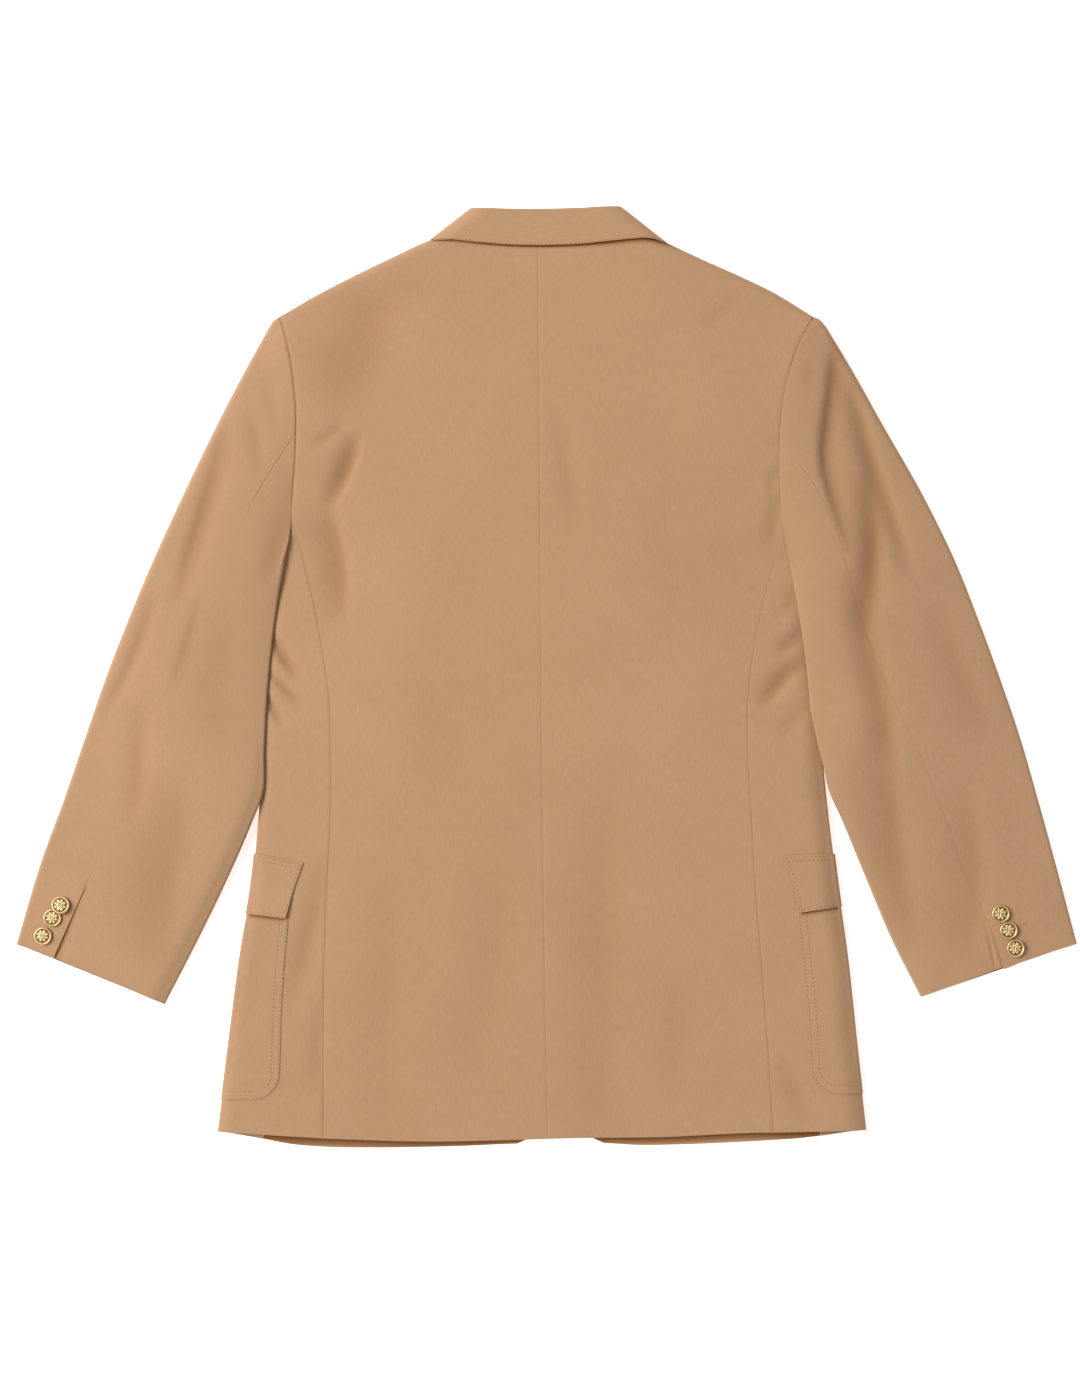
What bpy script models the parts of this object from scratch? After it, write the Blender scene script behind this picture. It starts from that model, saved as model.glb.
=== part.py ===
"""A two-button blazer laid flat with its back up, as the pieces a maker cuts and sews.

Sizes are in millimetres and become metres when a mesh is made. +X is the wearer's right, +Y the
neck, +Z up from the surface that the blazer lies on. Each piece of cloth is a grid of points on
its outer face, and a Solidify modifier gives it the thickness of a wall.
"""

import math

import bmesh
import bpy
from mathutils import Vector

MM = 0.001
MIDDLE = Vector((0, 0.36, 0))  # middle of the outline's box, which becomes the origin

# Cloth and seams
WALL = 1.6            # pressed gabardine with its fusing
PATCH_WALL = 1.2      # pockets and flaps
SEAM_GAP = 0.4        # between two pieces at a flat seam
BENT_GAP = 0.8        # at a seam where the cloth bends
SIDE_GAP = 1.3        # round the side panels, and the top sleeves, whose edges bend most
SLEEVE_GAP = 1.1
LAYER_GAP = 0.5       # between a piece and what lies on it

# Heights above the surface
FRONT_FLOOR = 3.4     # the fronts' outer face, held up by pockets and flaps
SIDE_FOLD = 2.7       # half the height of the fold down each side of the body
BACK_DOME = 130.0     # how far in from its edge the body reaches its full height
BUTTON_RISE = 1.8     # how far the fronts ride up over their buttons
BUTTON_RISE_WIDE = 110.0
BUTTON_RISE_ENDS = (-340.0, 110.0)
BUTTON_RISE_RUN = 130.0
SHOULDER_SEAM = 11.0  # height of the shoulder seam, at the edge of the body
SHOULDER_DROP = 1.0   # how far the cloth runs straight down to that seam
SHOULDER_ROUND = 9.0  # how far in from the edge the shoulder rounds over
SLEEVE_LIFT = 9.7     # underside of a sleeve where its inner edge lies on the body
SLEEVE_FOLD = 2.3     # half the height of the fold at that inner edge
SLEEVE_ROUND = 5.0    # the furthest in that a sleeve's edges round over
ON_BODY = 8.0         # how far in from that edge the sleeve stays up
OFF_BODY = 40.0       # and where it is down on the surface
HEAD_DOWN = 0.1       # share of a sleeve's length by which its underside is down at its outer edge
HEAD_BLEND = 0.16     # and by which its top has left the armhole's height
COLLAR_TOP = 24.0     # outer face of the collar's fall

NECK_HALF = 76.0      # half the back neck, up to where the shoulder starts to round over
NECK_BLEND = 12.0
FRONT_SEAM_IN = 38.0  # front seam of the side panel, in from the side edge
FRONT_SEAM_TOP = 6.0  # and at the underarm, where it has run up to the edge
FRONT_SEAM_BENDS = (-60.0, 130.0)
UNDERARM_DROP = 7.0   # the side edge ends this far below the underarm
SLEEVE_SEAM_IN = 0.2  # front seam of the sleeve at the cuff, as a share of its width
POCKET_REACH = 105.0  # how far pockets and flaps reach round to the front
FLAP_REACH = 107.0
POCKET_CORNER = 17.0  # radius of a pocket's bottom corners
CUFF_BUTTON = (14.8, 5.0)  # diameter, height
FRONT_BUTTON = (20.0, 4.5)

CLOTH = (0.52, 0.31, 0.17, 1.0)
GOLD = (0.75, 0.52, 0.2, 1.0)

# ---------------------------------------------------------------- the cut, left (-1) and right (1)

# Back seam of the side panel, hem to armhole: x, y
SIDE_SEAM = {
    -1: [(-186, -383), (-186, -299), (-185, -234), (-183, -173), (-180, -119), (-180, -61),
         (-181, -19), (-186, 18), (-194, 61), (-203, 98), (-212, 131)],
    1: [(187, -378), (182, -301), (177, -235), (172, -172), (169, -119), (166, -66),
        (166, -19), (170, 17), (178, 58), (187, 91), (195, 124)],
}

# Armhole, underarm to shoulder: x, y, and the height of the cloth over it
ARMHOLE = {
    -1: [(-214, 114, 14.6), (-212, 131, 14.6), (-211, 152, 15.4), (-209, 177, 17), (-208, 201, 18.4),
         (-208, 223, 19.4), (-210, 243, 19.6), (-213, 264, 19), (-217, 282, 17.8), (-222, 298, 15)],
    1: [(198, 107, 14.6), (195, 124, 14.6), (193, 147, 15.4), (191.5, 177, 17), (192, 203, 18.4),
        (194, 225, 19.4), (197, 243, 19.6), (203, 263, 19), (210, 281, 17.8), (220, 298, 15)],
}

# Edge of the body below the armhole: y, x on the left, x on the right
SIDE_EDGE = [(-380, -274, 265), (-299, -264, 256), (-234, -255.5, 249), (-173, -245.5, 240.5),
             (-119, -240, 233.7), (-80, -237.5, 229.5), (-19, -235.5, 224), (18, -232.5, 219),
             (61, -227, 211.5), (98, -221.5, 204), (140, -216, 197)]

# Hem of the back and of the front: x, y
BACK_HEM = [(-274, -376), (-235, -382), (-186, -384), (-91, -386), (-22, -384), (5, -383),
            (96, -382), (187, -378), (227, -377), (265, -374)]
FRONT_HEM = {
    -1: [(-236, -383), (-180, -388), (-133, -389), (-75, -388), (-25, -385)],
    1: [(227, -379), (155, -383.5), (110, -386), (75, -386.5), (47, -385)],
}

# Shoulder, from its corner to the neck: x, y
SHOULDER = {
    -1: [(-222, 298), (-191, 316), (-165, 329.5), (-129, 346.5), (-94, 359)],
    1: [(220, 298), (187, 317), (158, 332), (125, 346.5), (97, 357.5)],
}
BACK_NECK = [(85, 363.5), (60, 368), (30, 367), (0, 366)]

# Centre edge of each front, hem to neck: x, y. The right front laps over the left.
FRONT_EDGE = {
    -1: [(-25, -385), (2, -372), (16, -345), (20, -300), (20, -170), (20, -60), (8, -8),
         (-20, 106), (-50, 226), (-61, 270), (-69, 292), (-78, 328), (-86, 346), (-94, 359)],
    1: [(47, -385), (8, -365), (-12, -330), (-20, -280), (-20, -170), (-20, -60), (-8, -8),
        (20, 106), (50, 226), (61, 270), (69, 292), (78, 328), (87, 345), (97, 357.5)],
}
LAP_EDGE = -24.0       # where the left front has risen over the edge of the right one
LEFT_FRONT_STEP = 2.5  # the left front lies this much higher where the right one laps it

# Lapels, from where each shows to the notch: roll line x, y, outer edge x, y (mirrored on the left)
LAPEL = {
    -1: [(6, 44, 14, 40), (14, 78, 38, 66), (26, 126, 68, 108), (38, 174, 92, 154), (50, 222, 108, 204),
         (58, 258, 116, 243), (62, 288, 104, 278)],
    1: [(-16, -42, -12, -44), (-6, -6, 8, -16), (8, 48, 44, 30), (24, 112, 76, 92), (42, 184, 100, 160),
        (54, 236, 114, 218), (62, 288, 104, 278)],
}

# Sleeves: x, y
SLEEVE_OUTER = {
    -1: [(-227, 295), (-237, 285), (-254, 247), (-271, 213), (-303, 147), (-326, 97), (-347, 47),
         (-366, -2), (-384, -52), (-401, -102), (-419, -152), (-439.5, -221)],
    1: [(227, 295), (237, 280), (257, 247), (276, 213), (312, 147), (338, 97), (358, 47),
        (376, -2), (393, -52), (408, -102), (422, -152), (439.5, -220)],
}
SLEEVE_INNER = {
    -1: [(-214, 114), (-218, 92), (-223, 65), (-229, 20), (-232.5, -20), (-234.5, -60), (-236, -98),
         (-244, -119), (-266, -169), (-290, -218), (-317, -270)],
    1: [(198, 107), (203, 81), (209, 46), (214.5, 7), (218, -28), (228, -73), (233, -94),
        (244, -119), (265, -169), (286.5, -218), (309, -264)],
}
# Back seam of a sleeve, armhole to cuff, with the cuff vent as its last stretch
SLEEVE_SEAM = {
    -1: [(-208, 201), (-224, 177), (-239, 153), (-252, 127), (-270, 76), (-297, 10), (-330, -61),
         (-357, -119), (-378, -163), (-409, -232)],
    1: [(192, 203), (201, 185), (219, 162), (234, 135), (258, 55), (279, -2), (315, -78),
        (334, -127), (352, -168), (378, -241)],
}
SLEEVE_LEAVES_BODY = {-1: (-108, -205), 1: (-84, -180)}  # y where it starts down, y where it lies down

# Pocket's back edge and the flap's: y, then how far in from the body's edge
POCKET_EDGE = {-1: [(-173, 36), (-201, 40), (-279, 46), (-352, 53)],
               1: [(-173, 33), (-201, 36), (-288, 40), (-347, 43)]}
FLAP_EDGE = {-1: [(-154.5, 41), (-176, 36), (-198, 33)], 1: [(-148, 42), (-170, 37), (-194, 34)]}
FLAP_TOP_FRONT = -147
FLAP_BOTTOM_FRONT = -195

# Collar stations on the back, centre to fold: roll x, y and edge x, y
COLLAR_BACK = {
    -1: [(-1, 389, -2, 357), (-18, 388.7, -30, 357.2), (-32, 388.4, -56, 358.8)],
    1: [(-1, 389, -2, 357), (17, 389.3, 28, 358.3), (30, 389.5, 56, 359.6)],
}
COLLAR_FOLD = {-1: (-63, 388, -97, 361.5), 1: (60, 389.5, 101, 359.5)}
COLLAR_FRONT = [(59, 371, 95, 345), (58, 340, 103, 318), (62, 292, 108, 281)]  # mirrored on the left
COLLAR_WALL = 1.6
COLLAR_ROLL = 2.2      # radius of the roll line
COLLAR_BOTTOM = 1.2    # outer face of the collar's front ends above the surface
STAND_BACK = 17.0      # height of the stand at the back neck
STAND_SIDE = 10.0      # where the collar turns round the neck
STAND_FRONT = 3.0      # and at the front ends

# Cuff buttons, top to bottom: x, y, how much longer its shank is, and its tilt in degrees
CUFF_BUTTONS = {
    -1: [(-403.4, -190.1, 2.2, -9), (-410.4, -200.0, 0.0, 0), (-418.3, -215.0, 0.0, 0)],
    1: [(375.6, -196.7, 0.0, 0), (382.2, -210.4, 0.0, 0), (388.0, -225.2, 0.0, 0)],
}
FRONT_BUTTONS = [("top", -62.0), ("bottom", -165.0)]

# The largest folds: x0, y0, x1, y1, half width, depth
BODY_FOLDS = [(-161, 190, -179, 148, 20, 2.0), (-188, 148, -176, 50, 24, 1.4)]
SLEEVE_FOLDS = [(-273, 183, -315, 58, 20, 2.6), (234, 280, 228, 176, 16, 2.4), (228, 176, 246, 112, 16, 1.6),
                (298, 40, 330, -86, 26, 1.4)]

# Height of the back up its middle: y, height
CENTRE_HEIGHT = [(-390, 9.8), (-320, 11), (-200, 13.5), (-60, 15.2), (60, 16.2), (160, 18), (240, 20.5),
                 (320, 21), (380, 20)]

# Down a sleeve: share of its length, then half the height of its outer fold, and its bulge above the folds
SLEEVE_ROWS = [0, 0.03, 0.08, 0.15, 0.24, 0.33, 0.42, 0.51, 0.6, 0.7, 0.8, 0.9, 1.0]
OUTER_FOLD = [(0, 6.2), (0.1, 5.6), (0.3, 4.4), (0.6, 3.6), (1.0, 2.9)]
SLEEVE_BULGE = [(0, 4.5), (0.2, 5.0), (0.5, 4.4), (0.8, 2.6), (1.0, 0.8)]

ARC = [90, 50, 15, -15, -50, -90]  # degrees round a folded edge, top to bottom


# ---------------------------------------------------------------- curves and heights

def mix(a, b, share):
    return a + (b - a) * share


def smooth(share):
    share = min(max(share, 0.0), 1.0)
    return share * share * (3 - 2 * share)


def read_table(rows, value, column):
    """Read a column of a table at a value of its first column, between its rows."""
    rows = sorted(rows)
    if value <= rows[0][0]:
        return rows[0][column]
    for low, high in zip(rows, rows[1:]):
        if value <= high[0]:
            return mix(low[column], high[column], (value - low[0]) / (high[0] - low[0]))
    return rows[-1][column]


def along(points, share):
    """The point at a share of the length of the line through the points."""
    points = [Vector(p[:2]) for p in points]
    steps = [(b - a).length for a, b in zip(points, points[1:])]
    left = share * sum(steps)
    for a, b, step in zip(points, points[1:], steps):
        if left <= step:
            return a.lerp(b, left / step)
        left -= step
    return points[-1]


def away_from(points, place):
    """How far a place is from the line through the points."""
    points = [Vector(p[:2]) for p in points]
    nearest = []
    for a, b in zip(points, points[1:]):
        share = min(max((place - a).dot(b - a) / (b - a).length_squared, 0.0), 1.0)
        nearest.append((place - a.lerp(b, share)).length)
    return min(nearest)


def side_edge(side, y):
    return read_table(SIDE_EDGE, y, 1 if side < 0 else 2)


def fold_trough(folds, x, y):
    """How deep the folds are at a place: each is a soft trough along a line."""
    depth = 0.0
    for x0, y0, x1, y1, half_width, deep in folds:
        a, b, p = Vector((x0, y0)), Vector((x1, y1)), Vector((x, y))
        run = b - a
        share = (p - a).dot(run) / run.length_squared
        away = (p - a - run * share).length / half_width
        fade = smooth(min(share + 0.25, 1.25 - share) / 0.25)
        depth += deep * fade * math.exp(-away * away)
    return depth


def edge_height(side, y):
    """Top of the body at its side edge, or along the armhole above that."""
    fold_top = FRONT_FLOOR + 2 * SIDE_FOLD
    underarm = ARMHOLE[side][0][1]
    armhole = [(y0, z) for x, y0, z in ARMHOLE[side][1:]]
    return read_table([(-390, fold_top), (underarm, fold_top)] + armhole, y, 1)


def side_line(side, y):
    """x of the body's side edge, or of the armhole above it."""
    armhole = [(y0, x) for x, y0, z in ARMHOLE[side]]
    if y < armhole[0][0]:
        return side_edge(side, y)
    return read_table(armhole, y, 1)


def shoulder_line(x):
    side = -1 if x < 0 else 1
    rows = [(abs(px), py) for px, py in SHOULDER[side] + [(side * nx, ny) for nx, ny in BACK_NECK]]
    return read_table(rows, abs(x), 1)


def shoulder_share(x):
    """1 on the shoulder, 0 at the back neck, where the edge is flat under the collar."""
    return smooth((abs(x) - NECK_HALF) / NECK_BLEND)


def back_height(x, y):
    """Outer face of the back and of the side panels' upper half."""
    side = -1 if x < 0 else 1
    inward = max(abs(side_line(side, y)) - abs(x) - SIDE_FOLD, 0.0)
    edge = edge_height(side, y)
    height = mix(edge, read_table(CENTRE_HEIGHT, y, 1), smooth(inward / BACK_DOME))
    height -= fold_trough(BODY_FOLDS, x, y)
    below = max(shoulder_line(x) - y, 0.0)
    is_shoulder = shoulder_share(x)
    if below < SHOULDER_ROUND and is_shoulder > 0:
        turn = math.sqrt(max(1 - (1 - below / SHOULDER_ROUND) ** 2, 0.0))
        rounded = mix(SHOULDER_SEAM + SEAM_GAP + SHOULDER_DROP, height, turn)
        height = mix(height, rounded, is_shoulder)
    return height


def front_height(x, y):
    """Outer face of the fronts, which rides up over the buttons and rounds up at the shoulder."""
    low, high = BUTTON_RISE_ENDS
    ends = smooth((y - low) / BUTTON_RISE_RUN) * smooth((high - y) / BUTTON_RISE_RUN)
    height = FRONT_FLOOR + BUTTON_RISE * smooth(1 - abs(x) / BUTTON_RISE_WIDE) * ends
    below = max(shoulder_line(x) - y, 0.0)
    if below < SHOULDER_ROUND:
        turn = 1 - math.sqrt(max(1 - (1 - below / SHOULDER_ROUND) ** 2, 0.0))
        height = mix(height, SHOULDER_SEAM - SEAM_GAP - SHOULDER_DROP, turn)
    return height


# ---------------------------------------------------------------- making a piece

def material(name, colour, roughness, metallic):
    made = bpy.data.materials.new(name)
    made.use_nodes = True
    shader = made.node_tree.nodes["Principled BSDF"]
    shader.inputs["Base Color"].default_value = colour
    shader.inputs["Roughness"].default_value = roughness
    shader.inputs["Metallic"].default_value = metallic
    return made


def back_off(rows, gap):
    """Draw a grid's four edges in by half a seam's gap."""
    half = gap / 2
    moved = [[Vector(p) for p in row] for row in rows]
    last_row, last = len(rows) - 1, len(rows[0]) - 1
    for i, row in enumerate(rows):
        for j, point in enumerate(row):
            for edge, inner in ((i == 0, (1, j)), (i == last_row, (last_row - 1, j)),
                                (j == 0, (i, 1)), (j == last, (i, last - 1))):
                if edge:
                    step = Vector(rows[inner[0]][inner[1]]) - Vector(point)
                    moved[i][j] += step.normalized() * half
    return moved


def cloth(name, rows, faces_up, wall=WALL, gap=SEAM_GAP):
    """A wall of cloth whose outer face goes through rows of points."""
    rows = back_off(rows, gap)
    across = len(rows[0])
    bm = bmesh.new()
    bmesh.ops.create_grid(bm, x_segments=across - 1, y_segments=len(rows) - 1, size=1)
    bm.verts.ensure_lookup_table()
    for i, row in enumerate(rows):
        for j, point in enumerate(row):
            bm.verts[i * across + j].co = (point - MIDDLE) * MM
    bm.normal_update()
    bm.faces.ensure_lookup_table()
    if (bm.faces[0].normal.z > 0) != faces_up:
        bmesh.ops.reverse_faces(bm, faces=bm.faces)
    mesh = bpy.data.meshes.new(name)
    bm.to_mesh(mesh)
    bm.free()
    piece = bpy.data.objects.new(name, mesh)
    bpy.context.collection.objects.link(piece)
    mesh.materials.append(material(name, CLOTH, 0.85, 0.0))
    thick = piece.modifiers.new("wall", "SOLIDIFY")
    thick.thickness = wall * MM
    thick.offset = -1
    thick.use_even_offset = True
    thick.thickness_clamp = 1.5
    return piece


def coons(start, end, first, last):
    """Fill four edges, each a list of points, with rows of points from start to end."""
    rows = []
    deep, wide = len(first) - 1, len(start) - 1
    for i in range(deep + 1):
        v = i / deep
        row = []
        for j in range(wide + 1):
            u = j / wide
            ends = first[i].lerp(last[i], u) + start[j].lerp(end[j], v)
            corners = mix(start[0].lerp(start[-1], u), end[0].lerp(end[-1], u), v)
            row.append(ends - corners)
        rows.append(row)
    return rows


def lift(rows, height):
    return [[Vector((p.x, p.y, height(p.x, p.y))) for p in row] for row in rows]


def round_shoulder(hem, top, outer, centre, height, drop):
    """Fill a body panel from the hem to where the shoulder rounds over, then add the round."""
    run = (top[0] - outer[-2]).normalized()
    inner = [top[0] - run * SHOULDER_ROUND] + [p - Vector((0, SHOULDER_ROUND)) for p in top[1:]]
    run = (top[-1] - centre[-2]).normalized()
    inner[-1] = top[-1] - run * SHOULDER_ROUND
    rows = coons(hem, inner, outer[:-1] + [inner[0]], centre[:-1] + [inner[-1]])
    for share in (0.7, 1.0):
        rows.append([a.lerp(b, share) for a, b in zip(inner, top)])
    rows = lift(rows, height)
    rows.append([p + Vector((0, 1 - shoulder_share(p.x), drop * shoulder_share(p.x))) for p in rows[-1]])
    return rows


# ---------------------------------------------------------------- body panels

def back_panel(side):
    """From the side seam and armhole to the centre seam, hem to shoulder and neck."""
    outer = [Vector(p) for p in SIDE_SEAM[side]] + [Vector(p[:2]) for p in ARMHOLE[side][2:]]
    top = [Vector(p) for p in SHOULDER[side]] + [Vector((side * x, y)) for x, y in BACK_NECK]
    top[-1].x = -4
    centre_x = [(-390, 0.4), (-200, -3), (100, -6), (370, -8)]
    hem_y = read_table(BACK_HEM, 0.4, 1)
    centre = []
    for k in range(len(outer)):
        y = mix(hem_y, top[-1].y, k / (len(outer) - 1))
        centre.append(Vector((read_table(centre_x, y, 1), y)))
    top[-1] = centre[-1]
    outer[0].y = read_table(BACK_HEM, outer[0].x, 1)
    hem = []
    for k in range(len(top)):
        x = mix(outer[0].x, centre[0].x, k / (len(top) - 1))
        hem.append(Vector((x, read_table(BACK_HEM, x, 1))))
    outer[-1] = top[0]
    return round_shoulder(hem, top, outer, centre, back_height, -SHOULDER_DROP)


def fold_point(side, y, angle, out=0.0):
    """A point on the rounded side edge of the body, moved out of the cloth by out."""
    high = (edge_height(side, y) - FRONT_FLOOR) / 2
    turn = math.radians(angle)
    x = side_edge(side, y) - side * SIDE_FOLD + side * (SIDE_FOLD + out) * math.cos(turn)
    return Vector((x, y, FRONT_FLOOR + high + (high + out) * math.sin(turn)))


def top_point(side, y, inward, out=0.0):
    """A point on the upper face, a distance in from the side edge."""
    x = side_edge(side, y) - side * inward
    return Vector((x, y, back_height(x, y) + out))


def under_point(side, y, inward, out=0.0):
    """A point on the under face, a distance in from the side edge."""
    x = side_edge(side, y) - side * inward
    return Vector((x, y, front_height(x, y) - out))


def front_seam_in(level):
    """How far in the front seam is: it runs up to the underarm."""
    low, high = FRONT_SEAM_BENDS
    return mix(FRONT_SEAM_IN, FRONT_SEAM_TOP, smooth((level - low) / (high - low)))


def side_panel(side):
    seam = SIDE_SEAM[side]
    rows = []
    for k, (seam_x, level) in enumerate(seam):
        at_hem, at_top = k == 0, k == len(seam) - 1
        underarm = Vector(ARMHOLE[side][0][:2])
        edge_y = underarm.y - UNDERARM_DROP if at_top else level
        row = []
        seam_in = abs(side_edge(side, edge_y)) - abs(seam_x)
        for share in (0.0, 0.3, 0.6, 0.85):
            inward = mix(seam_in, SIDE_FOLD, share)
            y = mix(level, edge_y, share)
            point = top_point(side, y, inward)
            if share == 0:
                point = Vector((seam_x, y, back_height(seam_x, y)))
            elif at_top and share < 0.8:
                plan = Vector((seam_x, level)).lerp(underarm, share / 0.6)
                point = Vector((plan.x, plan.y - BENT_GAP, edge_height(side, plan.y)))
            if at_hem:
                point.y = read_table(BACK_HEM, point.x, 1)
            row.append(point)
        for angle in ARC:
            y = read_table(BACK_HEM, side_edge(side, level), 1) if at_hem else edge_y
            row.append(fold_point(side, y, angle))
        for share in (0.45, 1.0):
            inward = mix(SIDE_FOLD, front_seam_in(level), share)
            y = mix(edge_y, level, share)
            point = under_point(side, y, inward)
            if at_hem:
                back_y, front_y = read_table(BACK_HEM, point.x, 1), read_table(FRONT_HEM[side], point.x, 1)
                point.y = mix(back_y, front_y, share)
            row.append(point)
        rows.append(row)
    return rows


def front_panel(side):
    """From the front seam and armhole to the centre edge, hem to shoulder."""
    outer = [Vector((side_edge(side, y) - side * front_seam_in(y), y)) for x, y in SIDE_SEAM[side]]
    outer[0].y = read_table(FRONT_HEM[side], outer[0].x, 1)
    outer += [Vector(p[:2]) for p in ARMHOLE[side][2:]]
    centre = [along(FRONT_EDGE[side], k / (len(outer) - 1)) for k in range(len(outer))]
    top = [Vector(p) for p in SHOULDER[side]]
    outer[-1], top[-1] = top[0], centre[-1]
    hem = []
    for k in range(len(top)):
        x = mix(outer[0].x, centre[0].x, k / (len(top) - 1))
        hem.append(Vector((x, read_table(FRONT_HEM[side], x, 1))))

    def height(x, y):
        step = 0.0
        if side < 0:
            step = LEFT_FRONT_STEP * smooth((x - 2 * LAP_EDGE) / -LAP_EDGE)
        return front_height(x, y) + step

    rows = round_shoulder(hem, top, outer, centre, height, SHOULDER_DROP)
    if side < 0:
        for row in rows:
            a, b = row[-2], row[-1]
            share = min(max((LAP_EDGE - a.x) / (b.x - a.x), 0.3), 0.8)
            between = a.lerp(b, share)
            between.z = height(between.x, between.y) if row is not rows[-1] else a.z
            row.insert(-1, between)
    return rows


PLACE = {"top": top_point, "fold": fold_point, "under": under_point}


def round_side(back, front):
    """The points across a patch: from the back, round the side fold, to the front."""
    row = [("top", mix(back, SIDE_FOLD, share)) for share in (0.0, 0.45)]
    row += [("fold", angle) for angle in ARC]
    row += [("under", mix(SIDE_FOLD, front, share)) for share in (0.2, 0.6, 1.0)]
    return row


def corner_inset(level, bottom, radius):
    """How far a rounded bottom corner pulls an edge in at a level."""
    above = level - bottom
    if above >= radius:
        return 0.0
    return radius - math.sqrt(max(radius ** 2 - (radius - above) ** 2, 0.0))


def pocket(side):
    edge = POCKET_EDGE[side]
    top, bottom = edge[0][0], edge[-1][0]
    rows = []
    for level in (top, -201, -234, -266, -299, bottom + POCKET_CORNER, bottom + 8, bottom + 2.5, bottom):
        inset = corner_inset(level, bottom, POCKET_CORNER)
        laid = round_side(read_table(edge, level, 1) - inset, POCKET_REACH - inset)
        rows.append([PLACE[kind](side, level, value, LAYER_GAP + PATCH_WALL) for kind, value in laid])
    return rows


def flap(side):
    edge = FLAP_EDGE[side]
    out = 2 * (LAYER_GAP + PATCH_WALL)
    rows = []
    for share_down in (0.0, 0.5, 1.0):
        back_level = mix(edge[0][0], edge[-1][0], share_down)
        front_level = mix(FLAP_TOP_FRONT, FLAP_BOTTOM_FRONT, share_down)
        back = read_table(edge, back_level, 1)
        row = []
        for kind, value in round_side(back, FLAP_REACH):
            inward = value if kind == "top" else SIDE_FOLD
            y = mix(front_level, back_level, (inward - SIDE_FOLD) / (back - SIDE_FOLD))
            row.append(PLACE[kind](side, y, value, out))
        rows.append(row)
    return rows


# ---------------------------------------------------------------- sleeves

def into_sleeve(points, share, inside):
    """Direction from an edge of the sleeve, square to it, to its inside."""
    run = along(points, min(share + 0.02, 1)) - along(points, max(share - 0.02, 0))
    square = Vector((-run.y, run.x)).normalized()
    here = along(points, share)
    return square if square.dot(inside - here) > 0 else -square


def sleeve_lift(side, y):
    start, end = SLEEVE_LEAVES_BODY[side]
    return SLEEVE_LIFT * smooth((y - end) / (start - end))


def sleeve_lines(side, share):
    inner = along(SLEEVE_INNER[side], share)
    outer = along(SLEEVE_OUTER[side], share)
    seam = along(SLEEVE_SEAM[side], share)
    return inner, outer, seam


def sleeve_top_height(side, share, across, place, arm_height):
    """Top of a sleeve: across is 0 at the inner edge and 1 at the outer one."""
    inner, outer, seam = sleeve_lines(side, share)
    at_inner = sleeve_lift(side, inner.y) + 2 * SLEEVE_FOLD
    at_outer = 2 * read_table(OUTER_FOLD, share, 1)
    round_over = math.sin(math.pi * min(max(across, 0), 1)) ** 0.7
    height = mix(at_inner, at_outer, across) + read_table(SLEEVE_BULGE, share, 1) * round_over
    height -= fold_trough(SLEEVE_FOLDS, place.x, place.y)
    return mix(arm_height, height, smooth(share / HEAD_BLEND))


def sleeve_under_height(side, share, place, inner_y):
    """Underside of a sleeve: up on the body at its inner edge, down on the surface beyond."""
    from_inner = away_from(SLEEVE_INNER[side], place)
    raised = sleeve_lift(side, inner_y) * smooth((OFF_BODY - from_inner) / (OFF_BODY - ON_BODY))
    return max(raised, FRONT_FLOOR * (1 - smooth(share / HEAD_DOWN)))


def sleeve_height_at(side, place):
    """Top of a sleeve at a place, from the row across the sleeve that passes nearest to it."""
    best = None
    for k in range(201):
        inner, outer, _ = sleeve_lines(side, k / 200)
        across = (place - inner).dot(outer - inner) / (outer - inner).length_squared
        miss = (place - inner.lerp(outer, across)).length
        if best is None or miss < best[0]:
            best = (miss, k / 200, across)
    return sleeve_top_height(side, best[1], best[2], place, 0.0)


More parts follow.
